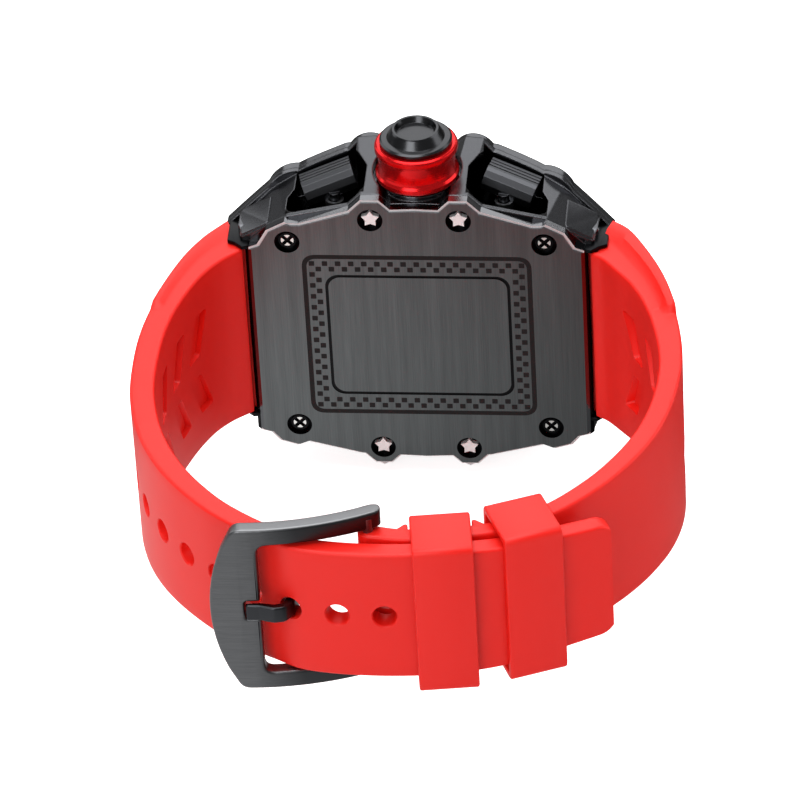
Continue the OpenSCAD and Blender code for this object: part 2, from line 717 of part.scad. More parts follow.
// Each row holds the wrist edge x, y and the outer edge x, y of the bent strap
short_rows = [[22.55, 0.4, 25.2, 6.4], [24.1, -0.8, 27.4, 4.4], [26.0, -3.2, 29.6, 0.6],
              [28.0, -6.0, 31.8, -4.2], [29.8, -9.8, 33.4, -9.0], [31.4, -15.0, 34.7, -14.6],
              [32.4, -21.0, 35.4, -21.0], [32.2, -27.0, 35.0, -27.4], [30.8, -33.0, 33.4, -34.0],
              [28.2, -38.8, 30.4, -40.4], [24.4, -44.4, 26.0, -46.5], [19.3, -49.5, 20.4, -51.6],
              [12.4, -53.05, 13.2, -55.2], [4.0, -54.3, 4.3, -56.6], [-1.1, -53.6, -1.1, -56.2]];
long_rows = [[-22.55, 0.4, -25.2, 6.4], [-25.2, -2.2, -27.9, 2.7], [-27.3, -5.6, -30.3, -2.4],
             [-29.2, -11.0, -32.5, -10.0], [-30.4, -16.9, -33.7, -17.0], [-30.7, -24.0, -33.9, -24.0],
             [-30.2, -30.0, -33.3, -30.6], [-28.3, -36.6, -31.1, -38.0], [-25.0, -42.8, -27.3, -44.8],
             [-20.2, -48.6, -21.8, -51.1], [-15.6, -52.3, -16.7, -55.0], [-12.4, -54.3, -13.4, -57.0],
             [-8.6, -56.4, -9.2, -59.1], [-2.0, -57.3, -2.0, -60.0], [6.0, -57.05, 6.2, -59.7],
             [14.0, -55.5, 14.8, -58.0], [20.0, -52.8, 21.0, -55.2], [24.0, -50.8, 25.0, -53.2],
             [26.2, -49.7, 27.2, -52.0], [27.2, -49.2, 28.2, -51.4]];

// Half width of the strap at a depth behind the case
function half_at(y) = lookup(-y, [[0, strap_half], [12, strap_half - 0.5], [25, strap_half - 1.5],
  [34, strap_half - 2.6], [43, strap_buckle_half + 0.4], [52, strap_buckle_half]]);

// How much the free tail narrows past the buckle, with its rounded tip
function tail_at(x) = lookup(x, [[8, 0], [19, 0.6], [25.2, 1.1]])
  + (x > 27.6 - tip_r ? tip_r - sqrt(pow(tip_r, 2) - pow(min(x, 27.4) - 27.6 + tip_r, 2)) : 0);

// One step of a smooth curve through four neighbouring rows
function blend(a, b, c, d, t) = 0.5 * (2 * b + (c - a) * t + (2 * a - 5 * b + 4 * c - d) * t * t
  + (3 * b - a - 3 * c + d) * t * t * t);

function smooth(rows, steps) = let (n = len(rows), first = 2 * rows[0] - rows[1],
  last = 2 * rows[n - 1] - rows[n - 2])
  [for (i = [0:n - 2], k = [0:steps - 1])
     blend(i == 0 ? first : rows[i - 1], rows[i], rows[i + 1],
           i == n - 2 ? last : rows[i + 2], k / steps),
   rows[n - 1]];

// Bevelled cross section of the strap at one row
function section(r, half) = let (a = [r[0], r[1]], b = [r[2], r[3]], t = norm(b - a),
  u = (b - a) / t, c = strap_bevel)
  [for (q = [[0, c - half], [c, -half], [t - c, -half], [t, c - half],
             [t, half - c], [t - c, half], [c, half], [0, half - c]])
     [a[0] + u[0] * q[0], a[1] + u[1] * q[0], q[1]]];

// Closed skin over a run of sections
module skin(rings, turn) {
  n = len(rings);
  m = len(rings[0]);
  sides = [for (i = [0:n - 2], j = [0:m - 1]) let (k = (j + 1) % m)
    each [[i * m + j, i * m + k, (i + 1) * m + k], [i * m + j, (i + 1) * m + k, (i + 1) * m + j]]];
  ends = [[for (j = [m - 1:-1:0]) j], [for (j = [0:m - 1]) (n - 1) * m + j]];
  faces = concat(sides, ends);
  polyhedron([for (r = rings) each r], turn ? [for (f = faces) [for (i = [len(f) - 1:-1:0]) f[i]]] : faces);
}

// The block of the strap that fills the end of the case
module strap_root() {
  translate([0, 0, -strap_half]) linear_extrude(2 * strap_half)
    polygon([[strap_face + gap, back_t + gap], [22.6, back_t + gap], [22.6, 0.4], [24.3, 0.4],
             [25.2, 6.4], [strap_face + gap, 7.9]]);
}

// Ridges on the wrist side that hold the fixed keeper between them
module keeper_stops() {
  height = 2 * strap_buckle_half - 0.3;
  translate([fixed_at[0], fixed_at[1], -height / 2]) rotate(fixed_lean)
    for (s = [0, 1]) mirror([s, 0, 0]) translate([keeper_w / 2 + 0.2, 2.5])
      linear_extrude(height) polygon([[0, 0], [0, 1.5], [0.4, 1.6], [1.7, 0.5], [1.7, 0]]);
}

module strap_buckle_half() color(red) difference() {
  union() {
    keeper_stops();
    skin([for (r = smooth(short_rows, 3)) section(r, half_at(r[1]))], true);
    strap_root();
    translate([buckle_pin[0], buckle_pin[1], -strap_buckle_half])
      cylinder(r = buckle_t / 2 + 0.28, h = 2 * strap_buckle_half);
  }
  translate([bar_place[0], bar_place[1], -20]) cylinder(r = lug_bar_r + fit, h = 40);
  translate([buckle_pin[0], buckle_pin[1], -20]) cylinder(r = bar_r + fit, h = 40);
  translate([-4, -60, -tang_w / 2 - slot_gap]) cube([5.2, 10, tang_w + 2 * slot_gap]);
}

// Length along the strap's middle line up to each smoothed row
function run_to(rows, i) = i == 0 ? 0 : run_to(rows, i - 1) + norm(mid_of(rows[i]) - mid_of(rows[i - 1]));

function mid_of(r) = [r[0] + r[2], r[1] + r[3]] / 2;

// The hole at a run along the strap, square to its face
module strap_hole(rows, runs, run) {
  x = lookup(run, [for (i = [0:len(rows) - 1]) [runs[i], mid_of(rows[i])[0]]]);
  y = lookup(run, [for (i = [0:len(rows) - 1]) [runs[i], mid_of(rows[i])[1]]]);
  dx = lookup(run, [for (i = [0:len(rows) - 1]) [runs[i], rows[i][2] - rows[i][0]]]);
  dy = lookup(run, [for (i = [0:len(rows) - 1]) [runs[i], rows[i][3] - rows[i][1]]]);
  translate([x, y, 0]) rotate([0, 0, atan2(dy, dx)]) rotate([0, 90, 0])
    translate([0, 0, -4]) cylinder(r = hole_r, h = 8);
}

module strap_hole_half() color(red) {
  rows = smooth(long_rows, 3);
  runs = [for (i = [0:len(rows) - 1]) run_to(rows, i)];
  tang_run = lookup(tang_x, [for (i = [30:len(rows) - 1]) [mid_of(rows[i])[0], runs[i]]]);
  difference() {
    union() {
      skin([for (r = rows) section(r, half_at(r[1]) - tail_at(r[0]))], false);
      mirror([1, 0, 0]) strap_root();
    }
    translate([-bar_place[0], bar_place[1], -20]) cylinder(r = lug_bar_r + fit, h = 40);
    for (i = [0:hole_count - 1]) strap_hole(rows, runs, tang_run + (2 - i) * hole_pitch);
  }
}

// A rectangular band round both straps, drawn at its own middle
module keeper(depth) {
  rotate([0, 90, 0]) translate([0, 0, -keeper_w / 2]) linear_extrude(keeper_w) difference() {
    soft_square(2 * keeper_half, depth, 0.8);
    soft_square(2 * (keeper_half - keeper_wall), depth - 2 * keeper_wall, 0.4);
  }
}

module keeper_fixed() color(red) translate(fixed_at) rotate(fixed_lean) keeper(fixed_depth);

module keeper_free() color(red) translate(free_at) rotate(free_lean) keeper(free_depth);

/* Buckle */
module buckle_frame() color(black) difference() {
  intersection() {
    translate([0, 0, -buckle_half]) linear_extrude(2 * buckle_half) {
      difference() {
        translate(curve_mid) circle(buckle_curve, $fn = 240);
        translate(curve_mid) circle(buckle_curve - buckle_t, $fn = 240);
        translate([buckle_pin[0], -70]) square([60, 120]);
        translate([-60, -50]) square([120, 60]);
      }
      translate(buckle_pin) circle(buckle_t / 2);
    }
    rotate([90, 0, 0]) linear_extrude(80) {
      intersection() {
        translate([crossbar_x + 17.2, 0]) circle(23.5, $fn = 180);
        translate([-25, -buckle_half]) square([26, 2 * buckle_half]);
      }
    }
  }
  translate([crossbar_x, -70, arm_w - buckle_half]) cube([30, 30, 2 * (buckle_half - arm_w)]);
  translate([crossbar_x - 2, -60.4, -tang_w / 2 - slot_gap / 2]) cube([3, 1.5, tang_w + slot_gap]);
  translate([buckle_pin[0], buckle_pin[1], -buckle_half + 0.6])
    cylinder(r = bar_r + fit, h = 2 * buckle_half - 1.2);
}

module buckle_bar() color(steel) translate([buckle_pin[0], buckle_pin[1], -buckle_half + 0.8])
  cylinder(r = bar_r, h = 2 * buckle_half - 1.6);

module buckle_tang() color(black) difference() {
  union() {
    translate([buckle_pin[0], buckle_pin[1], -tang_w / 2]) cylinder(r = 1.25, h = tang_w);
    translate([0, 0, -tang_w / 2]) linear_extrude(tang_w) polygon([
      [-1.5, -55.8], [-5.5, -56.0], [tang_x + 1.8, -55.55], [tang_x + 0.45, -56.3],
      [tang_x + 0.1, -58.5], [tang_x - 0.9, -60.0], [tang_x - 2.3, -60.3], [tang_x - 4.1, -59.8],
      [tang_x - 5.7, -59.8], [tang_x - 5.8, -59.2], [tang_x - 4.3, -58.95], [tang_x - 2.3, -59.2],
      [tang_x - 1.35, -58.9], [tang_x - 0.9, -57.4], [tang_x - 0.3, -55.2], [tang_x + 1.1, -54.3],
      [-5.5, -54.8], [-1.5, -54.0]]);
  }
  translate([buckle_pin[0], buckle_pin[1], -20]) cylinder(r = bar_r + fit, h = 40);
}

case_middle();
case_back();
back_gasket();
back_cross_screws();
back_star_screws();
bezel();
bezel_screws();
crystal();
crystal_gasket();
dial_ring();
dial();
hour_markers();
subdial_rings();
movement_ring();
main_plate();
train_bridge();
battery();
battery_clamp();
drive_coil();
circuit_board();
movement_screws();
crown_tube();
crown_cap();
crown_ring();
crown_gasket();
winding_stem();
setting_lever();
pusher_tubes();
pusher_start();
pusher_reset();
start_clip();
reset_clip();
start_spring();
reset_spring();
hour_hand();
hour_wheel();
minute_hand();
cannon_pinion();
chrono_seconds_hand();
chrono_minute_hand();
small_seconds_hand();
day_night_hand();
strap_bars();
strap_buckle_half();
strap_hole_half();
keeper_fixed();
keeper_free();
buckle_frame();
buckle_bar();
buckle_tang();
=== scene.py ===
"""Looks of a barrel-shaped chronograph on a red silicone strap, seen from its screwed back."""

from __future__ import annotations

import logging
import math
from dataclasses import dataclass
from enum import Enum
from functools import reduce
from typing import Iterable, Iterator, Sequence

import bmesh
import bpy
from mathutils import Matrix, Vector

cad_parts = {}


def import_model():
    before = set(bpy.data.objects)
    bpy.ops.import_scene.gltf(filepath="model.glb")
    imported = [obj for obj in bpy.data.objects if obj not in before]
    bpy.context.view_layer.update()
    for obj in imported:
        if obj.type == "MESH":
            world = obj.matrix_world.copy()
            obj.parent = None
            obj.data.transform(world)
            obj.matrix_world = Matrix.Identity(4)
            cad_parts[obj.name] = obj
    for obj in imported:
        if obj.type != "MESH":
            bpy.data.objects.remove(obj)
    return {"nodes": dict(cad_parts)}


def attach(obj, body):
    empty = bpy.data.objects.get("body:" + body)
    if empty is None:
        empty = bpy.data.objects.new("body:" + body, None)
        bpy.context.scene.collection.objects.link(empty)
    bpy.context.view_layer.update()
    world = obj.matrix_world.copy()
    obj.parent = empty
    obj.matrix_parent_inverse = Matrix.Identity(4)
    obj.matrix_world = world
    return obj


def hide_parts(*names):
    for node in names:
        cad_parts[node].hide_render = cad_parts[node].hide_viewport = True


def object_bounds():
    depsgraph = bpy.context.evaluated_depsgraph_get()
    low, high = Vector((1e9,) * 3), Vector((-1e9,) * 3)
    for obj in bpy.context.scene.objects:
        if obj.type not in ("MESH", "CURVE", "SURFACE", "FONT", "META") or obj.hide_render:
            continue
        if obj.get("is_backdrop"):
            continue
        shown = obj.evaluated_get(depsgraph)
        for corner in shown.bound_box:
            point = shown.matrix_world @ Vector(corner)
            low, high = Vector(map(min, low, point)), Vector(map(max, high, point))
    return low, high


LOG = logging.getLogger("watch")
MM = 0.001
SMOOTH_DEG = 35.0  # faces that meet at less are shaded smooth
RELIEF_DEPTH = 0.3  # height of the fine relief as a share of its grain
ACROSS = Vector((0, 0, 1))
Point = tuple[float, float]
Triple = tuple[float, float, float]
Row = tuple[float, float, float, float]
Tree = bpy.types.NodeTree
Socket = bpy.types.NodeSocket
Value = Socket | float | Row
Object = bpy.types.Object
Mesh = bmesh.types.BMesh


def linear(hex_colour: str) -> Row:
    """Turns an sRGB hex colour, six digits after a hash sign, into linear light with an alpha of 1."""
    parts = [int(hex_colour[i : i + 2], 16) / 255 for i in (1, 3, 5)]
    return (*(p / 12.92 if p <= 0.04045 else ((p + 0.055) / 1.055) ** 2.4 for p in parts), 1.0)


def add(tree: Tree, kind: str, inputs: dict | None = None, **settings) -> bpy.types.Node:
    """Adds a node with its settings, and fills or links its inputs.

    Args:
        tree: the node tree of a material or world.
        kind: the node's type name without the ShaderNode prefix.
        inputs: input name or number to a value, or to an output socket to link.
        **settings: attributes of the node, such as operation.

    Returns:
        The new node.
    """
    node = tree.nodes.new("ShaderNode" + kind)
    for key, value in settings.items():
        setattr(node, key, value)
    for key, value in (inputs or {}).items():
        if isinstance(value, Socket):
            tree.links.new(value, node.inputs[key])
        else:
            node.inputs[key].default_value = value
    return node


def calc(tree: Tree, kind: str, a: Value, b: Value = 0.0) -> Socket:
    """One step of arithmetic on two values of a node tree."""
    return add(tree, "Math", {0: a, 1: b}, operation=kind).outputs[0]


def blend(tree: Tree, share: Value, under: Value, over: Value) -> Socket:
    """Lays a colour over another by a share from 0 to 1."""
    return add(tree, "Mix", {0: share, 6: under, 7: over}, data_type="RGBA").outputs[2]


def beyond(tree: Tree, value: Socket, limit_mm: float) -> Socket:
    """Gives 1 where a length is more than a limit in millimetres."""
    return calc(tree, "GREATER_THAN", value, limit_mm * MM)


def within(tree: Tree, value: Socket, limit_mm: float) -> Socket:
    """Gives 1 where a length is less than a limit in millimetres."""
    return calc(tree, "LESS_THAN", value, limit_mm * MM)


def all_of(tree: Tree, *masks: Socket) -> Socket:
    """Gives 1 where every mask is 1, and 0 elsewhere."""
    return reduce(lambda a, b: calc(tree, "MULTIPLY", a, b), masks)


def axes(tree: Tree, kind: str = "Object") -> Sequence[Socket]:
    """Splits a texture coordinate, the place on the object or its normal, into X, Y and Z."""
    return add(tree, "SeparateXYZ", {0: add(tree, "TexCoord").outputs[kind]}).outputs


def length_of(tree: Tree, u: Value, w: Value) -> Socket:
    """Length of a flat vector."""
    flat = add(tree, "CombineXYZ", {0: u, 1: w}).outputs[0]
    return add(tree, "VectorMath", {0: flat}, operation="LENGTH").outputs["Value"]


def noise(tree: Tree, size_mm: float, stretch: Triple, detail: float, rough: float = 0.5) -> Socket:
    """Adds a noise pattern at its real size on the object.

    Args:
        tree: the material's node tree.
        size_mm: size of the pattern's largest grains.
        stretch: scale along each axis; a small one draws the grains out.
        detail: steps of finer grains.
        rough: strength of each finer step.

    Returns:
        The pattern's value, from 0 to 1.
    """
    place = add(tree, "TexCoord").outputs["Object"]
    drawn = add(tree, "Mapping", {"Vector": place, "Scale": stretch}).outputs[0]
    inputs = {"Vector": drawn, "Scale": 1 / (size_mm * MM), "Detail": detail, "Roughness": rough}
    return add(tree, "TexNoise", inputs).outputs[0]


class Brush(Enum):
    """Direction of the fine lines that a brushing belt leaves, by the axis they run along."""

    ALONG_X = (0.02, 1.0, 1.0)
    ALONG_Z = (1.0, 1.0, 0.02)
    NONE = (1.0, 1.0, 1.0)


@dataclass(frozen=True)
class Finish:
    """A named surface with a colour, gloss and fine relief.

    Attributes:
        name: the material's name.
        colour: sRGB hex colour.
        metallic: 1 for bare or plated metal.
        roughness: spread of the reflections.
        grain_mm: size of the fine relief.
        relief: strength of the fine relief's bump.
        variation: how much the colour drifts over the surface.
        brush: direction of brushing.
        edge_mm: radius by which the edges look softened.
        turned: how far turning marks round Z stretch the reflections.
    """

    name: str
    colour: str
    metallic: float = 0.0
    roughness: float = 0.4
    grain_mm: float = 0.15
    relief: float = 0.1
    variation: float = 0.06
    brush: Brush = Brush.NONE
    edge_mm: float = 0.0
    turned: float = 0.0

    def grain(self, tree: Tree) -> Socket:
        """Adds the fine relief pattern at its real size."""
        return noise(tree, self.grain_mm, self.brush.value, detail=4.0, rough=0.6)

    def tint(self, tree: Tree, pattern: Socket) -> Socket:
        """Lets the colour drift a little with a pattern from 0 to 1.

        Args:
            tree: the material's node tree.
            pattern: the pattern.

        Returns:
            The drifting colour.
        """
        base = linear(self.colour)[:3]
        low, high = (tuple(min(1.0, c * (1 + s * self.variation)) for c in base) for s in (-1, 1))
        return blend(tree, pattern, (*low, 1.0), (*high, 1.0))

    def shade(self, tree: Tree, pattern: Socket) -> Socket:
        """Gives the surface's colour."""
        return self.tint(tree, pattern)

    def surface(self, tree: Tree, pattern: Socket) -> Socket:
        """Turns the pattern into relief, over softened edges where the finish has them.

        Args:
            tree: the material's node tree.
            pattern: value from 0 to 1.

        Returns:
            The normal for the shader.
        """
        inputs: dict = {"Height": pattern, "Strength": self.relief, "Distance": self.grain_mm * MM * RELIEF_DEPTH}
        if self.edge_mm:
            inputs["Normal"] = add(tree, "Bevel", {"Radius": self.edge_mm * MM}, samples=6).outputs[0]
        return add(tree, "Bump", inputs).outputs[0]

    def paint(self, tree: Tree, shader: bpy.types.Node) -> None:
        """Gives the shader its colour, fine relief and turning marks.

        Args:
            tree: the material's node tree.
            shader: its principled shader.
        """
        pattern = self.grain(tree)
        tree.links.new(self.shade(tree, pattern), shader.inputs["Base Color"])
        tree.links.new(self.surface(tree, pattern), shader.inputs["Normal"])
        if self.turned:
            round_axis = add(tree, "Tangent", direction_type="RADIAL", axis="Z")
            tree.links.new(round_axis.outputs[0], shader.inputs["Tangent"])
            shader.inputs["Anisotropic"].default_value = self.turned

    def build(self) -> bpy.types.Material:
        """Makes the material.

        Returns:
            The finished material.
        """
        material = bpy.data.materials.new(self.name)
        material.use_nodes = True
        tree = material.node_tree
        tree.nodes.clear()
        inputs = {"Metallic": self.metallic, "Roughness": self.roughness, "Base Color": linear(self.colour)}
        shader = add(tree, "BsdfPrincipled", inputs)
        add(tree, "OutputMaterial", {"Surface": shader.outputs[0]})
        self.paint(tree, shader)
        return material


@dataclass(frozen=True)
class MouldedSilicone(Finish):
    """Silicone rubber from a fine-blasted mould: a satin skin that lets a little light in.

    Attributes:
        glow: share of the light that enters the skin.
        glow_mm: depth that it reaches.
        glow_reach: share of that depth for red, green and blue.
        sheen: strength of the plain reflection.
    """

    glow: float = 0.12
    glow_mm: float = 0.6
    glow_reach: Triple = (1.0, 0.25, 0.15)
    sheen: float = 0.35

    def paint(self, tree: Tree, shader: bpy.types.Node) -> None:
        """Adds the light that enters the skin and comes out redder.

        Args:
            tree: the material's node tree.
            shader: its principled shader.
        """
        super().paint(tree, shader)
        shader.inputs["Subsurface Weight"].default_value = self.glow
        shader.inputs["Subsurface Radius"].default_value = self.glow_reach
        shader.inputs["Subsurface Scale"].default_value = self.glow_mm * MM
        shader.inputs["Specular IOR Level"].default_value = self.sheen


@dataclass(frozen=True)
class BrushedBack(Finish):
    """Steel plated dark grey: belt-brushed face, painted highlight on the chamfer, near-black painted shade on the
    bevelled ends and in the screw wells, dark grooves.

    Attributes:
        side_colour: colour of the plain sides.
        painted_shade_colour: near-black painted shade on the bevelled ends and in the screw wells.
        groove_colour: colour of the engraved grooves.
        chamfer_highlight_colour: colour of the painted highlight on the polished chamfer.
        chamfer_highlight_share: how far the chamfer's metal gloss gives way to its painted highlight colour.
        side_gloss: roughness of the sides.
        frame_half: half size of the engraved frame, in millimetres.
        groove_mm: depth past which the frame counts as engraved.
        ledge_mm: depths between which the chamfer's ledge lies; the wells lie deeper.
        end_mm: distance from the middle at which the bevelled ends start.
        streak_mm: width of the coarser streaks left by worn grit.
        streak_stretch: scale of the streaks along each axis.
        facing: share of the normal along Y from which a face counts as the back's face.
    """

    side_colour: str = "#707174"
    painted_shade_colour: str = "#141416"
    groove_colour: str = "#1F1F20"
    chamfer_highlight_colour: str = "#E6E7E8"
    chamfer_highlight_share: float = 0.7
    side_gloss: float = 0.14
    frame_half: Point = (14.9, 12.5)
    groove_mm: float = 0.03
    ledge_mm: Point = (0.2, 0.5)
    end_mm: float = 21.75
    streak_mm: float = 1.3
    streak_stretch: Triple = (1.0, 1.0, 0.03)
    facing: float = 0.9

    def paint(self, tree: Tree, shader: bpy.types.Node) -> None:
        """Tells face, chamfer, sides, grooves and wells apart by place, and paints each, with painted shade on the
        ends and in the wells and a painted highlight on the chamfer.

        Args:
            tree: the material's node tree.
            shader: its principled shader.
        """
        x, high, z = axes(tree)
        along, across = calc(tree, "ABSOLUTE", x), calc(tree, "ABSOLUTE", z)

        top, floor = self.ledge_mm
        frame_x, frame_z = self.frame_half
        face = calc(tree, "GREATER_THAN", calc(tree, "ABSOLUTE", axes(tree, "Normal")[1]), self.facing)
        side = calc(tree, "SUBTRACT", 1.0, face)
        # painted highlight: the chamfer's ledge turns near white
        chamfer = all_of(tree, face, beyond(tree, high, top), within(tree, high, floor))
        framed = all_of(tree, within(tree, along, frame_x), within(tree, across, frame_z))
        groove = all_of(tree, framed, beyond(tree, high, self.groove_mm))
        well = all_of(tree, face, beyond(tree, high, floor))
        # painted shade: the screw wells and the bevelled ends turn near black
        dark = calc(tree, "MAXIMUM", well, beyond(tree, along, self.end_mm))
        pattern = self.grain(tree)
        coarse = noise(tree, self.streak_mm, self.streak_stretch, detail=3.0)
        colour = self.tint(tree, calc(tree, "MULTIPLY", calc(tree, "ADD", coarse, pattern), 0.5))
        for mask, shade in (
            (side, self.side_colour),
            (groove, self.groove_colour),
            (chamfer, self.chamfer_highlight_colour),
            (dark, self.painted_shade_colour),
        ):
            colour = blend(tree, mask, colour, linear(shade))
        # most of the chamfer's metal gives way to its painted highlight colour
        metal = calc(tree, "SUBTRACT", 1.0, calc(tree, "MULTIPLY", chamfer, self.chamfer_highlight_share))
        gloss = add(tree, "MapRange", {0: face, 3: self.side_gloss, 4: self.roughness}).outputs[0]
        for value, name in ((colour, "Base Color"), (metal, "Metallic"), (gloss, "Roughness")):
            tree.links.new(value, shader.inputs[name])
        tree.links.new(self.surface(tree, pattern), shader.inputs["Normal"])


@dataclass(frozen=True)
class HighlitCrossHead(Finish):
    """Oil-blackened screw head with a near-white painted highlight on its middle, round a black cross slot.

    Attributes:
        centre: place of a screw along and across the back, mirrored to all four.
        bright_mm: radius of the painted highlight in the middle.
        arm_mm: half width of the cross's black arms.
        slot_y: height above which the floor of the slot lies.
        painted_highlight_colour: colour of the painted highlight.
    """

    centre: Point = (16.6, 14.4)
    bright_mm: float = 0.82
    arm_mm: float = 0.25
    slot_y: float = 0.55
    painted_highlight_colour: str = "#F8F6F2"

    def paint(self, tree: Tree, shader: bpy.types.Node) -> None:
        """Paints the highlight on the middle between the arms of the cross.

        Args:
            tree: the material's node tree.
            shader: its principled shader.
        """
        x, high, z = axes(tree)
        u, w = (
            calc(tree, "SUBTRACT", calc(tree, "ABSOLUTE", axis), place * MM)
            for axis, place in zip((x, z), self.centre)
        )
        bright = within(tree, length_of(tree, u, w), self.bright_mm)
        arm = self.arm_mm * math.sqrt(2)
        clear = [beyond(tree, calc(tree, "ABSOLUTE", calc(tree, kind, u, w)), arm) for kind in ("ADD", "SUBTRACT")]
        # painted highlight: the middle of the head, clear of the cross and its floor, turns near white
        painted_highlight = all_of(tree, bright, within(tree, high, self.slot_y), *clear)
        colour = blend(tree, painted_highlight, linear(self.colour), linear(self.painted_highlight_colour))
        tree.links.new(colour, shader.inputs["Base Color"])


@dataclass(frozen=True)
class CasePlate(Finish):
    """Polished black-plated steel, with near-black painted shade inside the side recesses.

    Attributes:
        painted_shade_colour: near-black painted shade inside the recesses.
        near_mm: distance along the case of the recess wall by the crown.
        far_mm: distance of the other wall.
        near_slope: height where the near wall starts to lean, height it leans over, and its slope.
        far_slope: the same for the far wall.
        floor_y: height of the recess floor.
        rail: height of the rail curve's middle and the radius of its underside.
    """

    painted_shade_colour: str = "#0A0A0B"
    near_mm: float = 6.55
    far_mm: float = 16.9
    near_slope: Triple = (7.4, 3.2, 0.53)
    far_slope: Triple = (5.4, 1.4, 0.57)
    floor_y: float = 2.15
    rail: Point = (-36.7, 49.3)

    def shade(self, tree: Tree, pattern: Socket) -> Socket:
        """Paints shade, near black, on the plating between the walls, the floor and the rail of each recess.

        Args:
            tree: the material's node tree.
            pattern: value from 0 to 1.

        Returns:
            The surface's colour.
        """
        x, high, _ = axes(tree)
        along = calc(tree, "ABSOLUTE", x)

        def lean(start: float, most: float, slope: float) -> Socket:
            """Rises with height from a start, up to a most, at a slope."""
            rise = calc(tree, "MAXIMUM", calc(tree, "SUBTRACT", high, start * MM), 0.0)
            return calc(tree, "MULTIPLY", calc(tree, "MINIMUM", rise, most * MM), slope)

        curve = length_of(tree, along, calc(tree, "SUBTRACT", high, self.rail[0] * MM))
        near = calc(tree, "SUBTRACT", along, lean(*self.near_slope))
        far = calc(tree, "ADD", along, lean(*self.far_slope))
        # painted shade: the plating inside each side recess turns near black
        recess = all_of(
            tree,
            within(tree, curve, self.rail[1]),
            beyond(tree, near, self.near_mm),
            within(tree, far, self.far_mm),
            beyond(tree, high, self.floor_y),
        )
        return blend(tree, recess, self.tint(tree, pattern), linear(self.painted_shade_colour))


@dataclass(frozen=True)
class BuckleGrey(Finish):
    """Satin grey plating, darker along the arms, with a painted highlight on the upper edge.

    Attributes:
        arm_colour: colour of the arms.
        top_highlight_colour: colour of the painted highlight on the edge that faces the crown side.
        fade_mm: places along the watch where the arm starts and is darkest.
        top_facing: shares of the normal along Z between which the upper edge comes in.
    """

    arm_colour: str = "#424345"
    top_highlight_colour: str = "#77787A"
    fade_mm: Point = (-15.5, -9.5)
    top_facing: Point = (0.6, 0.9)

    def shade(self, tree: Tree, pattern: Socket) -> Socket:
        """Lays the arm's colour and then the upper edge's painted highlight over the plain one.

        Args:
            tree: the material's node tree.
            pattern: value from 0 to 1.

        Returns:
            The surface's colour.
        """
        start, end = self.fade_mm
        low, high = self.top_facing
        arm = add(tree, "MapRange", {0: axes(tree)[0], 1: start * MM, 2: end * MM}).outputs[0]
        # painted highlight on the faces that turn up along Z
        top = add(tree, "MapRange", {0: axes(tree, "Normal")[2], 1: low, 2: high}).outputs[0]
        dark = blend(tree, arm, self.tint(tree, pattern), linear(self.arm_colour))
        return blend(tree, top, dark, linear(self.top_highlight_colour))


@dataclass(frozen=True)
class ClearGlass(Finish):
    """Polished mineral crystal: clear, with a hard sharp reflection."""

    refraction: float = 1.5

    def paint(self, tree: Tree, shader: bpy.types.Node) -> None:
        """Lets light through the glass."""
        shader.inputs["Transmission Weight"].default_value = 1.0
        shader.inputs["IOR"].default_value = self.refraction


# Belt-brushed steel with a dark grey plating: long fine lines, soft grey sheen; painted highlight on the chamfer,
# painted shade on the ends and in the wells
BACK_STEEL = BrushedBack("brushed_grey_plated_steel", "#686B6C", 1.0, 0.34, 0.14, 0.3, 0.6, Brush.ALONG_Z)
# Polished steel with a hard black plating: nearly black, with long soft highlights
BLACK_PLATE = Finish("polished_black_plated_steel", "#57585B", 1.0, 0.2, 0.5, 0.03, 0.05, edge_mm=0.3)
# The same plating painted darker as shade, on the cheeks beside the strap and the pusher tubes in their recesses
CHEEK_PLATE = Finish("black_plated_steel_painted_shade", "#1C1D1F", 1.0, 0.3, 0.5, 0.02, 0.05, edge_mm=0.1)
# The same plating on the case, with near-black painted shade in the side recesses
CASE_PLATE = CasePlate("black_plated_case_steel", "#57585B", 1.0, 0.2, 0.5, 0.03, 0.05, edge_mm=0.3)
# Turned and polished black plated steel of the crown's hub
HUB_PLATE = Finish("turned_black_plated_steel", "#434446", 1.0, 0.2, 0.12, 0.03, 0.05, edge_mm=0.06, turned=0.6)
# Satin black plating of the pushers: even, with soft highlights on the ribs
PUSHER_PLATE = Finish("satin_black_plated_pushers", "#4A4B4E", 1.0, 0.3, 0.5, 0.0, 0.0, edge_mm=0.12)
# Turned bright steel: fine rings, nearly white under a studio light
BRIGHT_STEEL = Finish("turned_bright_steel", "#F0F1F2", 1.0, 0.22, 0.1, 0.05, 0.04, edge_mm=0.05)
# Star screws: a white base colour that is only partly metallic paints them nearly white, as a painted glint
STAR_STEEL = Finish("star_steel_painted_glint", "#FFFFFF", 0.35, 0.25, 0.1, 0.0, 0.0, edge_mm=0.05)
# Oil-blackened steel of the small cross screws: dark, with painted highlights on their middles
BLACKENED_STEEL = HighlitCrossHead("oil_blackened_steel", "#1A1A1B", 1.0, 0.24)
# Anodised aluminium, dyed red: metal gloss under a clear tinted skin
RED_ANODISED = Finish("red_anodised_aluminium", "#E8161A", 0.75, 0.2, 0.3, 0.0, 0.0, edge_mm=0.1)
# Satin plated steel of the buckle: grey, darker along the arms, with a painted highlight on the upper edges, lightly
# brushed across
BUCKLE_STEEL = BuckleGrey("satin_grey_plated_steel", "#67686A", 1.0, 0.38, 0.14, 0.25, 0.3, Brush.ALONG_X)
# The same plating on the buckle's spring bar
BAR_STEEL = Finish("satin_grey_plated_bar", "#6E6F71", 1.0, 0.36, 0.14, 0.2, 0.16, Brush.ALONG_X)
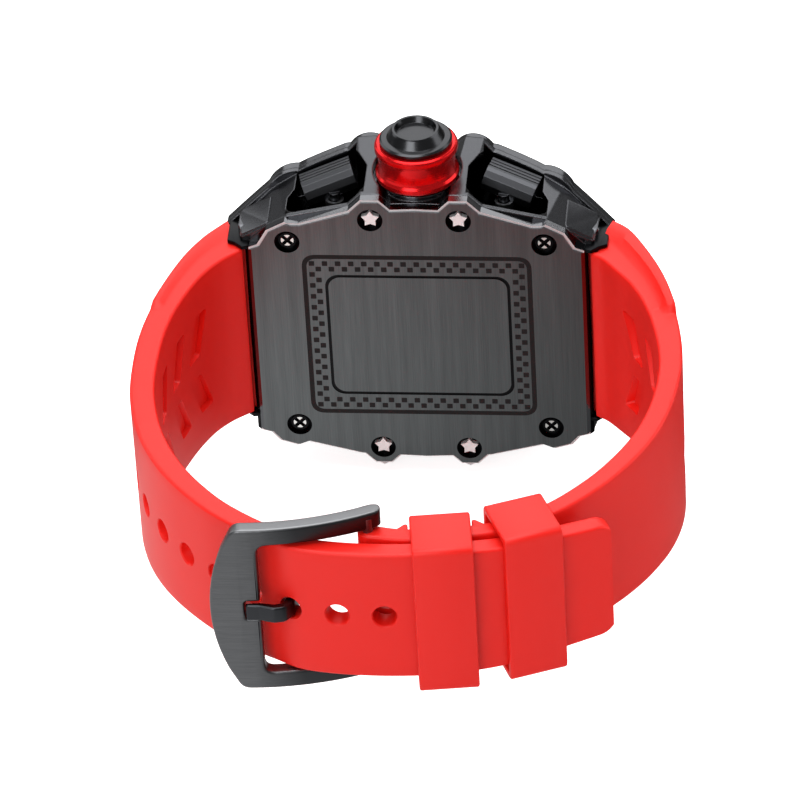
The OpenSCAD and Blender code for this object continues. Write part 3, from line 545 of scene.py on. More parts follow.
# Darker satin plated steel of the tang
TANG_STEEL = Finish("satin_black_plated_steel", "#3C3D40", 1.0, 0.28, 0.2, 0.04, 0.0, edge_mm=0.1)
# Moulded silicone rubber: satin red skin
RED_SILICONE = MouldedSilicone("moulded_red_silicone", "#EC1C12", 0.0, 0.42, 0.06, 0.04, 0.03)
# Soft black nitrile seals
SEAL_RUBBER = Finish("black_nitrile_rubber", "#151515", 0.0, 0.7, 0.1, 0.2)
# Matt black dial lacquer on brass
DIAL_LACQUER = Finish("matt_black_dial_lacquer", "#101012", 0.0, 0.55, 0.08, 0.12, 0.2)
# Red lacquer of small painted pieces
RED_LACQUER = Finish("gloss_red_lacquer", "#C81C18", 0.0, 0.25, 0.2, 0.03)
# Nickel-plated steel of the works
WORKS_STEEL = Finish("nickel_plated_steel", "#C3C5C8", 1.0, 0.28, 0.12, 0.1, 0.08, Brush.ALONG_X)
# Gilt brass of the works, with a straight grain
WORKS_BRASS = Finish("gilt_brass", "#C7A050", 1.0, 0.32, 0.12, 0.12, 0.1, Brush.ALONG_X)
# Moulded acetal spacer
SPACER_ACETAL = Finish("moulded_natural_acetal", "#DAD7CB", 0.0, 0.45, 0.2, 0.08)
# Enamelled copper winding
COIL_WIRE = Finish("enamelled_copper_wire", "#A35A28", 0.6, 0.35, 0.12, 0.6, 0.2)
# Green solder mask of the circuit
SOLDER_MASK = Finish("green_solder_mask", "#1C5C3C", 0.0, 0.3, 0.3, 0.05, 0.12)
# Soot-black laser etching
LASER_ETCH = Finish("laser_etched_black", "#0E0E0F", 0.0, 0.8, 0.08, 0.2, 0.15)
# Clear crystal
CRYSTAL = ClearGlass("polished_mineral_glass", "#F2F6F6", 0.0, 0.02)

# CAD nodes whose shape is right and which only need their finish
CARRIED: dict[Finish, str] = {
    CASE_PLATE: "case_middle",
    BACK_STEEL: "case_back",
    SEAL_RUBBER: "back_gasket crystal_gasket crown_gasket",
    BLACKENED_STEEL: "back_cross_screws",
    STAR_STEEL: "back_star_screws",
    BLACK_PLATE: "bezel",
    CRYSTAL: "crystal",
    DIAL_LACQUER: "dial_ring dial",
    BRIGHT_STEEL: "bezel_screws hour_markers movement_screws hour_hand minute_hand chrono_minute_hand "
    "small_seconds_hand day_night_hand",
    RED_LACQUER: "subdial_rings chrono_seconds_hand",
    SPACER_ACETAL: "movement_ring",
    WORKS_BRASS: "main_plate battery_clamp hour_wheel cannon_pinion",
    COIL_WIRE: "drive_coil",
    SOLDER_MASK: "circuit_board",
    WORKS_STEEL: "train_bridge battery crown_tube winding_stem setting_lever start_clip reset_clip "
    "start_spring reset_spring strap_bars",
    HUB_PLATE: "crown_cap",
    RED_ANODISED: "crown_ring",
    # the pusher tubes wear the darker plating as painted shade in their recesses
    CHEEK_PLATE: "pusher_tubes",
    PUSHER_PLATE: "pusher_start pusher_reset",
    BAR_STEEL: "buckle_bar",
}


class Wardrobe:
    """Builds each finish once and dresses objects with it."""

    def __init__(self) -> None:
        """Starts with no materials."""
        self._made: dict[str, bpy.types.Material] = {}

    def dress(self, obj: Object, finish: Finish) -> None:
        """Gives an object one finish all over.

        Args:
            obj: a mesh object.
            finish: the finish to wear.
        """
        if finish.name not in self._made:
            self._made[finish.name] = finish.build()
        obj.data.materials.clear()
        obj.data.materials.append(self._made[finish.name])
        LOG.info("%s wears %s", obj.name, finish.name)

    def dress_carried(self, nodes: dict[str, Object]) -> None:
        """Gives every carried CAD node its finish.

        Args:
            nodes: CAD node name to object.
        """
        for finish, names in CARRIED.items():
            for name in names.split():
                self.dress(nodes[name], finish)


def shade_smooth(mesh: bpy.types.Mesh, smooth_deg: float = SMOOTH_DEG) -> None:
    """Shades a mesh smooth, with creases where faces meet at more than an angle."""
    mesh.shade_smooth()
    mesh.set_sharp_from_angle(angle=math.radians(smooth_deg))


def new_mesh(name: str, work: Mesh, smooth_deg: float = SMOOTH_DEG) -> Object:
    """Turns a bmesh drawn in millimetres into an object in metres.

    Args:
        name: the object's name.
        work: the bmesh, which is freed.
        smooth_deg: faces meeting at less than this angle are shaded smooth.

    Returns:
        The new object, linked to the scene.
    """
    bmesh.ops.recalc_face_normals(work, faces=work.faces)
    bmesh.ops.scale(work, vec=(MM, MM, MM), verts=work.verts)
    mesh = bpy.data.meshes.new(name)
    work.to_mesh(mesh)
    work.free()
    shade_smooth(mesh, smooth_deg)
    obj = bpy.data.objects.new(name, mesh)
    bpy.context.scene.collection.objects.link(obj)
    return obj


def join(target: Object, others: Sequence[Object]) -> None:
    """Adds the meshes of other objects to a target's mesh and removes the others.

    Args:
        target: the object that stays.
        others: objects in the same place as the target.
    """
    work = bmesh.new()
    work.from_mesh(target.data)
    for other in others:
        work.from_mesh(other.data)
        bpy.data.objects.remove(other)
    work.to_mesh(target.data)
    work.free()


def carve(obj: Object, cutters: Sequence[Object]) -> None:
    """Cuts closed meshes out of an object, bakes the cuts and shades it again.

    Args:
        obj: the object that is cut.
        cutters: closed meshes, which are removed afterwards.
    """
    for cutter in cutters:
        boolean = obj.modifiers.new(cutter.name, "BOOLEAN")
        boolean.operation = "DIFFERENCE"
        boolean.solver = "EXACT"
        boolean.object = cutter
    graph = bpy.context.evaluated_depsgraph_get()
    mesh = bpy.data.meshes.new_from_object(obj.evaluated_get(graph))
    obj.modifiers.clear()
    old, obj.data = obj.data, mesh
    bpy.data.meshes.remove(old)
    shade_smooth(mesh)
    for cutter in cutters:
        bpy.data.objects.remove(cutter)


def loft(work: Mesh, rings: Iterable[Iterable[Sequence[float]]], looped: bool = False) -> None:
    """Draws a skin through rings of points, and closes it.

    Args:
        work: the bmesh that the skin is drawn in.
        rings: rings with the same number of points each, in order.
        looped: whether the last ring joins the first, instead of a cap on both.
    """
    loops = [[work.verts.new(point) for point in ring] for ring in rings]
    for a, b in zip(loops, loops[1:] + loops[: int(looped)]):
        for k in range(len(a)):
            j = (k + 1) % len(a)
            work.faces.new((a[k], a[j], b[j], b[k]))
    if not looped:
        work.faces.new(list(reversed(loops[0])))
        work.faces.new(loops[-1])


def ring_round(middle: Vector, u: Vector, w: Vector, radius: float, sides: int) -> list[Vector]:
    """Points round a middle, in the plane of two directions."""
    turns = [2 * math.pi * k / sides for k in range(sides)]
    return [middle + u * radius * math.cos(a) + w * radius * math.sin(a) for a in turns]


def smooth(rows: Sequence[Row], steps: int) -> list[Row]:
    """Fills a list of rows with a smooth curve.

    Args:
        rows: the given rows.
        steps: rows drawn for each given one.

    Returns:
        The filled list.
    """

    def blended(p: float, q: float, r: float, s: float, t: float) -> float:
        """The value at t on the smooth curve from q to r, with p before and s after them."""
        return 0.5 * (2 * q + (r - p) * t + (2 * p - 5 * q + 4 * r - s) * t * t + (3 * q - p - 3 * r + s) * t**3)

    first = tuple(2 * p - q for p, q in zip(rows[0], rows[1]))
    last = tuple(2 * p - q for p, q in zip(rows[-1], rows[-2]))
    full = [first, *rows, last]
    fours = [list(zip(*full[i : i + 4])) for i in range(len(rows) - 1)]
    return [tuple(blended(*each, k / steps) for each in four) for four in fours for k in range(steps)] + [rows[-1]]


def lookup(x: float, table: Sequence[Point]) -> float:
    """Straight-line value of a table at x, held at its ends.

    Args:
        x: the place in the table.
        table: pairs of place and value, in order.

    Returns:
        The value.
    """
    if x <= table[0][0]:
        return table[0][1]
    for (x0, y0), (x1, y1) in zip(table, table[1:]):
        if x <= x1:
            return y0 + (y1 - y0) * (x - x0) / (x1 - x0)
    return table[-1][1]


def box_corners(half_u: float, half_w: float) -> list[Point]:
    """Corners of a rectangle round the origin, anticlockwise."""
    return [(-half_u, -half_w), (half_u, -half_w), (half_u, half_w), (-half_u, half_w)]


def rounded_corners(points: Sequence[Point], radius: float | Sequence[float], steps: int = 4) -> list[Point]:
    """Rounds the corners of a flat outline.

    Args:
        points: the outline's corners in order.
        radius: one corner radius, or one for each corner.
        steps: points drawn on each corner.

    Returns:
        The rounded outline.
    """
    out: list[Point] = []
    count = len(points)
    radii = [radius] * count if isinstance(radius, (int, float)) else list(radius)
    for i, p in enumerate(points):
        here = Vector(p)
        if radii[i] <= 0:
            out.append((here.x, here.y))
            continue
        back, front = Vector(points[i - 1]) - here, Vector(points[(i + 1) % count]) - here
        half = max(back.angle(front), 1e-3) / 2
        reach = min(radii[i] / math.tan(half), back.length / 2, front.length / 2)
        start, end = here + back.normalized() * reach, here + front.normalized() * reach
        for k in range(steps + 1):
            t = k / steps
            q = start * (1 - t) ** 2 + here * 2 * t * (1 - t) + end * t**2
            out.append((q.x, q.y))
    return out


def rounded_shape(shape: Sequence[Triple], steps: int = 4) -> list[Point]:
    """Rounds an outline whose points give x, y and the radius of the corner."""
    return rounded_corners([p[:2] for p in shape], [p[2] for p in shape], steps)


def inset(outline: Sequence[Point], amount: float) -> list[Point]:
    """Moves an anticlockwise outline towards its inside.

    Args:
        outline: points in order.
        amount: distance moved.

    Returns:
        The moved outline.
    """
    out = []
    count = len(outline)
    for i, p in enumerate(outline):
        a = (Vector(p) - Vector(outline[i - 1])).normalized()
        b = (Vector(outline[(i + 1) % count]) - Vector(p)).normalized()
        normal = Vector((-a.y - b.y, a.x + b.x))
        if normal.length < 1e-6:
            normal = Vector((-a.y, a.x))
        normal.normalize()
        lean = max(normal.dot(Vector((-a.y, a.x))), 0.5)
        q = Vector(p) + normal * amount / lean
        out.append((q.x, q.y))
    return out


def rounded_plate(outline: Sequence[Point], thick: float, edge: float, steps: int = 4, low: float = 0.0) -> Mesh:
    """Builds a plate with rounded rims, drawn in X and Y with its thickness along Z.

    Args:
        outline: anticlockwise points.
        thick: the plate's thickness.
        edge: radius of its rims.
        steps: bands drawn on each rim.
        low: place of its lower face along Z.

    Returns:
        The closed mesh, in millimetres.
    """
    turns = [math.radians(90 * k / steps) for k in range(steps + 1)]
    levels = [(edge * (1 - math.sin(a)), edge * (1 - math.cos(a))) for a in turns]
    heights = levels + [(pull, thick - depth) for pull, depth in reversed(levels)]
    work = bmesh.new()
    loft(work, [[(x, y, low + z) for x, y in inset(outline, pull)] for pull, z in heights])
    return work


def in_side_view(place: Point, lean_deg: float) -> Matrix:
    """Turns a piece about Z and moves it to its place in the side view."""
    return Matrix.Translation((*place, 0)) @ Matrix.Rotation(math.radians(lean_deg), 4, "Z")


def edges_at(row: Sequence[float]) -> tuple[Vector, Vector]:
    """Wrist edge and outer edge of the strap at a row."""
    return Vector((*row[:2], 0)), Vector((*row[2:], 0))


@dataclass
class StrapHalf:
    """One moulded half of the strap, swept along its bent side view.

    Attributes:
        name: the piece's name.
        node: the CAD node it replaces.
        rows: wrist edge x, y and outer edge x, y at stations along the strap.
        end_side: +1 where the half leaves the 12 o'clock end, -1 at 6 o'clock.
        tail: whether the half ends in a free tail with a rounded tip.
        lip_height: height of the shoulder's lip.
        half_widths: depth below the watch to half width.
        tail_taper: place along the tail to what it loses of its half width.
        tip_x: place of the tail's tip, and how near to it the rounding is drawn.
        tip_r: radius of the tip's corners.
        lip_y: height where the lip ends, and the length over which it fades.
        lip_steps: share of the thickness to share of the lip, up its flank.
        root: outline of the block in the end of the case.
        root_soft: radius of its edges.
        edge_r: radius of the strap's edges.
        thin: least thickness of the strap in such radii.
        steps: sections drawn for each row.
    """

    name: str
    node: str
    rows: Sequence[Row]
    end_side: int
    tail: bool
    lip_height: float = 0.6
    half_widths: Sequence[Point] = ((0, 12.9), (12, 12.4), (25, 11.4), (34, 10.3), (43, 9.7), (52, 9.3))
    tail_taper: Sequence[Point] = ((8, 0), (19, 0.6), (25.2, 1.1))
    tip_x: Point = (27.6, 27.4)
    tip_r: float = 2.2
    lip_y: Point = (-12.9, 0.9)
    lip_steps: Sequence[Point] = ((0.45, 0.0), (0.58, 0.25), (0.70, 0.8))
    root: Sequence[Point] = ((21.4, 1.7), (22.6, 1.7), (22.6, 0.4), (24.3, 0.4), (25.2, 6.4), (21.4, 7.9))
    root_soft: float = 0.25
    edge_r: float = 0.42
    thin: float = 2.4
    steps: int = 12

    def half_width(self, row: Row) -> float:
        """Half width of the strap at a row, with the tail's taper and rounded tip.

        Args:
            row: wrist edge and outer edge in the side view.

        Returns:
            The half width.
        """
        half = lookup(-row[1], self.half_widths)
        if self.tail:
            half -= lookup(row[0], self.tail_taper)
            past = min(row[0], self.tip_x[1]) - self.tip_x[0] + self.tip_r
            if past > 0:
                half -= self.tip_r - math.sqrt(self.tip_r**2 - past**2)
        return half

    def lip(self, row: Row) -> float:
        """Height of the lip, which stands on the outer half of the sides next to the case."""
        share = min(1.0, max(0.0, (row[1] - self.lip_y[0]) / self.lip_y[1]))
        return self.lip_height * share * share * (3 - 2 * share)

    def profile(self, row: Row) -> list[Vector]:
        """Rounded cross section of the strap at one row, with the lip of the shoulder.

        Args:
            row: wrist edge and outer edge in the side view.

        Returns:
            The section's points, in order round it.
        """
        inner, outer = edges_at(row)
        thick, out = (outer - inner).length, (outer - inner).normalized()
        half, lip = self.half_width(row), self.lip(row)
        r = min(self.edge_r, thick / self.thin)

        def corner(u: float, w: float, start: float) -> list[Point]:
            """A quarter round about a point, from an angle in degrees."""
            turns = [math.radians(start + 90 * k / 4) for k in range(5)]
            return [(u + r * math.cos(a), w + r * math.sin(a)) for a in turns]

        low = corner(r, -half + r, 180)
        low += [(thick * u, -half - lip * share) for u, share in self.lip_steps]
        low += corner(thick - r, -half - lip + r, 270)
        high = [(u, -w) for u, w in reversed(low)]
        points = [*low, *self.between(low[-1], high[0]), *high, *self.between(high[-1], low[0])]
        return [inner + out * u + Vector((0, 0, w)) for u, w in points]

    @staticmethod
    def between(start: Point, end: Point, parts: int = 12) -> list[Point]:
        """Evenly spaced points between two others, without them."""
        shares = [k / parts for k in range(1, parts)]
        return [tuple(a + (b - a) * t for a, b in zip(start, end)) for t in shares]

    def sweep(self) -> Object:
        """Sweeps the section along the rows.

        Returns:
            The plain half, before its holes.
        """
        work = bmesh.new()
        loft(work, (self.profile(row) for row in smooth(self.rows, self.steps)))
        return new_mesh(self.name, work)

    def root_block(self) -> Object:
        """The block that fills the end of the case, round the spring bar.

        Returns:
            A closed mesh.
        """
        half = self.half_widths[0][1]
        work = bmesh.new()
        face = work.faces.new([work.verts.new((x * self.end_side, y, -half)) for x, y in self.root])
        made = bmesh.ops.extrude_face_region(work, geom=[face])
        top = [g for g in made["geom"] if isinstance(g, bmesh.types.BMVert)]
        bmesh.ops.translate(work, verts=top, vec=(0, 0, 2 * half))
        bmesh.ops.bevel(work, geom=work.edges[:], offset=self.root_soft, segments=2, affect="EDGES")
        return new_mesh(self.name + "_root", work)

    def stretches(self) -> Iterator[tuple[float, Row, Row, Vector, Vector]]:
        """Walks along the strap's middle line.

        Yields:
            The run up to a stretch, its two rows, and their middles.
        """
        run, rows = 0.0, smooth(self.rows, self.steps)
        for a, b in zip(rows, rows[1:]):
            p, q = (Vector(((row[0] + row[2]) / 2, (row[1] + row[3]) / 2, 0)) for row in (a, b))
            yield run, a, b, p, q
            run += (q - p).length

    def station(self, run: float) -> tuple[Vector, Vector, Vector, float]:
        """Place along the strap's middle line.

        Args:
            run: length from the case end, in millimetres.

        Returns:
            The middle point, the outward and forward directions, and the thickness.

        Raises:
            ValueError: if the strap is shorter than the run.
        """
        for total, a, b, p, q in self.stretches():
            t = (run - total) / (q - p).length
            if t <= 1:
                inner, outer = edges_at([u + (v - u) * t for u, v in zip(a, b)])
                across = outer - inner
                return (inner + outer) / 2, across.normalized(), (q - p).normalized(), across.length
        raise ValueError(f"the strap is shorter than {run} mm")

    def run_at(self, x: float, below: float = -50.0) -> float:
        """Run along the middle line at which the stretch below a height reaches x.

        Args:
            x: place along the watch.
            below: height under which the stretch lies.

        Returns:
            The run, in millimetres.

        Raises:
            ValueError: if no such stretch reaches x.
        """
        for total, _, _, p, q in self.stretches():
            if p.y < below and p.x < x <= q.x:
                return total + (q - p).length * (x - p.x) / (q.x - p.x)
        raise ValueError(f"the strap does not reach {x} mm")


@dataclass
class Strap:
    """Both strap halves with their holes, air recesses and keeper stops.

    Attributes:
        holes_past: holes between the tang's hole and the tail's tip.
        hole_rim: place from the strap's face to what the hole's radius gains there.
        tang_x: place of the hole that the tang lies in, along the watch.
        wrist_recess: depth of the recesses on the wrist side.
        outer_recess: depth of those on the outer side.
        recess_size: length and width of a recess.
        recess_r: radius of its corners.
        recess_rim: height over the face to what the recess grows there.
        recess_draft: how much narrower it is at its floor.
        recess_z: place of a recess across the strap.
        recess_lean: how far its two ends lie apart along the strap.
        recess_runs: places of the recesses along the strap.
        fixed_at: middle of the fixed keeper, between its stops.
        fixed_lean: its turn in the side view.
        stop_shape: outline of a stop with the radius of each corner.
        stop_at: gap between a stop and the keeper, and the stop's foot.
        stop_soft: radius of the stop's rims.
        pin: axis of the buckle's spring bar.
        eye: half width, half width of the slot, and radius of the eye round the bar.
        eye_rim: distance from the eye's end to what its radius loses there.
        slot_box: middle and size of the slot for the tang.
    """

    wardrobe: Wardrobe
    hole_r: float = 1.45
    hole_pitch: float = 5.7
    hole_count: int = 10
    holes_past: int = 2
    hole_rim: Sequence[Point] = ((0.6, 0.55), (0.02, 0.22), (-0.14, 0.05), (-0.4, 0.0))
    tang_x: float = -10.3
    wrist_recess: float = 0.7
    outer_recess: float = 0.35
    recess_size: Point = (3.0, 5.9)
    recess_r: float = 0.5
    recess_rim: Sequence[Point] = ((1.0, 0.3), (0.0, 0.06))
    recess_draft: float = 0.1
    recess_z: float = 4.4
    recess_lean: float = 2.6
    recess_runs: Sequence[float] = (11.3, 18.5, 25.7)
    fixed_at: Point = (8.0, -56.75)
    fixed_lean: float = 8.0
    keeper_width: float = 7.4
    stop_half: float = 9.15
    stop_shape: Sequence[Triple] = ((0, 0, 0), (1.7, 0, 0), (1.7, 0.5, 0.3), (0.45, 1.6, 0.35), (0, 1.6, 0.2))
    stop_at: Point = (0.2, 2.5)
    stop_soft: float = 0.2
    pin: Point = (-1.1, -54.9)
    eye: Triple = (9.25, 1.45, 1.28)
    eye_rim: Sequence[Point] = ((0.0, 0.3), (0.12, 0.08), (0.3, 0.0))
    slot_box: tuple[Triple, Triple] = ((-1.4, -55, 0), (5.2, 10, 2.9))
    short_rows: Sequence[Row] = (
        (22.55, 0.4, 25.2, 6.4), (24.1, -0.8, 27.4, 4.4), (26.0, -3.2, 29.6, 0.6),
        (28.0, -6.0, 31.8, -4.2), (29.8, -9.8, 33.4, -9.0), (31.4, -15.0, 34.7, -14.6),
        (32.4, -21.0, 35.4, -21.0), (32.2, -27.0, 35.0, -27.4), (30.8, -33.0, 33.4, -34.0),
        (28.2, -38.8, 30.4, -40.4), (24.4, -44.4, 26.0, -46.5), (19.3, -49.5, 20.4, -51.6),
        (12.4, -53.05, 13.2, -55.2), (4.0, -54.3, 4.3, -56.6), (-1.1, -53.6, -1.1, -56.2),
    )
    long_rows: Sequence[Row] = (
        (-22.55, 0.4, -25.2, 6.4), (-25.2, -2.2, -27.9, 2.7), (-27.3, -5.6, -30.3, -2.4),
        (-29.2, -11.0, -32.5, -10.0), (-30.4, -16.9, -33.7, -17.0), (-30.7, -24.0, -33.9, -24.0),
        (-30.2, -30.0, -33.3, -30.6), (-28.3, -36.6, -31.1, -38.0), (-25.0, -42.8, -27.3, -44.8),
        (-20.2, -48.6, -21.8, -51.1), (-15.6, -52.3, -16.7, -55.0), (-12.4, -54.3, -13.4, -57.0),
        (-8.6, -56.4, -9.2, -59.1), (-2.0, -57.3, -2.0, -60.0), (6.0, -57.05, 6.2, -59.7),
        (14.0, -55.5, 14.8, -58.0), (20.0, -52.8, 21.0, -55.2), (24.0, -50.8, 25.0, -53.2),
        (26.2, -49.7, 27.2, -52.0), (27.2, -49.2, 28.2, -51.4),
    )

    def hole_cutter(self, half: StrapHalf, run: float) -> Object:
        """A pin with flared ends, so the hole it cuts has softened rims.

        Args:
            half: the strap half.
            run: place of the hole along it.

        Returns:
            A closed mesh.
        """
        middle, out, forward, thick = half.station(run)
        profile = [(thick / 2 + past, self.hole_r + flare) for past, flare in self.hole_rim]
        profile += [(-height, radius) for height, radius in reversed(profile)]
        work = bmesh.new()
        loft(work, (ring_round(middle + out * h, forward, ACROSS, r, sides=40) for h, r in profile))
        return new_mesh("hole_cutter", work)

    def recess_cutter(self, half: StrapHalf, run: float, side: int, wrist: bool) -> Object:
        """A leaning block that cuts one air recess into a face of the strap.

        Args:
            half: the strap half.
            run: place of the recess along it.
            side: +1 for the recess nearer the crown side, -1 for its mirror image.
            wrist: whether it is on the wrist side.

        Returns:
            A closed mesh.
        """
        middle, out, forward, thick = half.station(run)
        face = -out if wrist else out
        length, width = self.recess_size
        depth = self.wrist_recess if wrist else self.outer_recess
        rings = []
        for height, grow in (*self.recess_rim, (-depth, -self.recess_draft)):
            box = box_corners(length / 2 + grow, width / 2 + grow)
            corners = [(u - side * math.copysign(self.recess_lean / 2, w), w) for u, w in box]
            base = middle + face * (thick / 2 + height)
            flat = rounded_corners(corners, self.recess_r, 3)
            rings.append([base + forward * u + ACROSS * (side * self.recess_z + w) for u, w in flat])
        work = bmesh.new()
        loft(work, rings)
        return new_mesh("recess_cutter", work)

    def recesses(self, half: StrapHalf) -> list[Object]:
        """All air recesses of one half: mirrored leaning pairs on both faces."""
        places = [(run, side, wrist) for wrist in (True, False) for run in self.recess_runs for side in (1, -1)]
        return [self.recess_cutter(half, *place) for place in places]

    def keeper_stop(self, side: int) -> Object:
        """A ridge on the wrist side, square towards the fixed keeper and sloping away from it.

        Args:
            side: +1 for the ridge nearer the tail's tip, -1 for the one nearer the buckle.

        Returns:
            A closed mesh.
        """
        gap, foot = self.stop_at
        start = self.keeper_width / 2 + gap
        outline = [(start + x, foot + y) for x, y in rounded_shape(self.stop_shape)]
        work = rounded_plate(outline, 2 * self.stop_half, self.stop_soft, low=-self.stop_half)
        turn = in_side_view(self.fixed_at, self.fixed_lean) @ Matrix.Scale(side, 4, (1, 0, 0))
        bmesh.ops.transform(work, matrix=turn, verts=work.verts)
        return new_mesh("keeper_stop", work)

    def end_eye(self) -> Object:
        """The rounded end of the short half, round the buckle's spring bar.

        Returns:
            A closed mesh.
        """
        half, slot, radius = self.eye
        x_axis, y_axis = Vector((1, 0, 0)), Vector((0, 1, 0))
        work = bmesh.new()
        for low, high in ((-half, -slot), (slot, half)):
            levels = [(low + z, pull) for z, pull in self.eye_rim]
            levels += [(high - z, pull) for z, pull in reversed(self.eye_rim)]
            loft(work, (ring_round(Vector((*self.pin, z)), x_axis, y_axis, radius - p, sides=32) for z, p in levels))
        return new_mesh("strap_eye", work)

    def tang_slot(self) -> Object:
        """The slot at the end of the short half that the tang's eye turns in.

        Returns:
            A closed mesh.
        """
        middle, size = self.slot_box
        work = bmesh.new()
        bmesh.ops.create_cube(work, size=1.0)
        bmesh.ops.scale(work, vec=size, verts=work.verts)
        bmesh.ops.translate(work, vec=middle, verts=work.verts)
        return new_mesh("slot_cutter", work)

    def finish_half(self, half: StrapHalf, cutters: list[Object], extras: Sequence[Object] = ()) -> None:
        """Sweeps a half, cuts it, joins its root block and puts it on the watch.

        Args:
            half: the strap half.
            cutters: what is cut out of it.
            extras: closed meshes that are part of it.
        """
        piece = half.sweep()
        carve(piece, cutters)
        join(piece, [half.root_block(), *extras])
        self.wardrobe.dress(piece, RED_SILICONE)
        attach(piece, "case")
        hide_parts(half.node)

    def build(self) -> None:
        """Builds both halves."""
        short = StrapHalf("strap_upper", "strap_buckle_half", self.short_rows, 1, False, lip_height=1.3)
        long = StrapHalf("strap_lower", "strap_hole_half", self.long_rows, -1, True)
        extras = [self.keeper_stop(1), self.keeper_stop(-1), self.end_eye()]
        self.finish_half(short, [*self.recesses(short), self.tang_slot()], extras)
        tang_run = long.run_at(self.tang_x)
        runs = [tang_run + (self.holes_past - i) * self.hole_pitch for i in range(self.hole_count)]
        self.finish_half(long, self.recesses(long) + [self.hole_cutter(long, run) for run in runs])


@dataclass
class Keeper:
    """A moulded band round both strap halves.

    Attributes:
        node: the CAD node it replaces.
        body: the body it rides on.
        middle: its centre in the side view.
        lean_deg: its turn in the side view.
        depth: its height over the straps.
        soft: radius of its rims.
        corner_r: radii of its outer and inner corners.
    """

    wardrobe: Wardrobe
    node: str
    body: str
    middle: Point
    lean_deg: float
    depth: float
    half: float = 10.7
    width: float = 7.4
    wall: float = 0.9
    soft: float = 0.22
    corner_r: Point = (0.95, 0.45)

    def build(self) -> None:
        """Builds the band as a rounded loop with softened rims."""
        w, soft = self.width / 2, self.soft
        rims = [(-w, 1.0), (-w + soft * 0.3, 0.3), (-w + soft, 0.0), (w - soft, 0.0), (w - soft * 0.3, 0.3), (w, 1.0)]
        loops = []
        for wall, radius, order, inward in (
            (0.0, self.corner_r[0], rims, soft),
            (self.wall, self.corner_r[1], reversed(rims), -soft),
        ):
            d, h = self.depth / 2 - wall, self.half - wall
            outline = rounded_corners(box_corners(d, h), radius, 6)
            for x, pull in order:
                shrink = pull * inward
                loops.append([(x, u * (d - shrink) / d, v * (h - shrink) / h) for u, v in outline])
        work = bmesh.new()
        loft(work, loops, looped=True)
        bmesh.ops.transform(work, matrix=in_side_view(self.middle, self.lean_deg), verts=work.verts)
        piece = new_mesh(self.node.replace("keeper", "strap_keeper"), work, 50)
        self.wardrobe.dress(piece, RED_SILICONE)
        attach(piece, self.body)
        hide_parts(self.node)


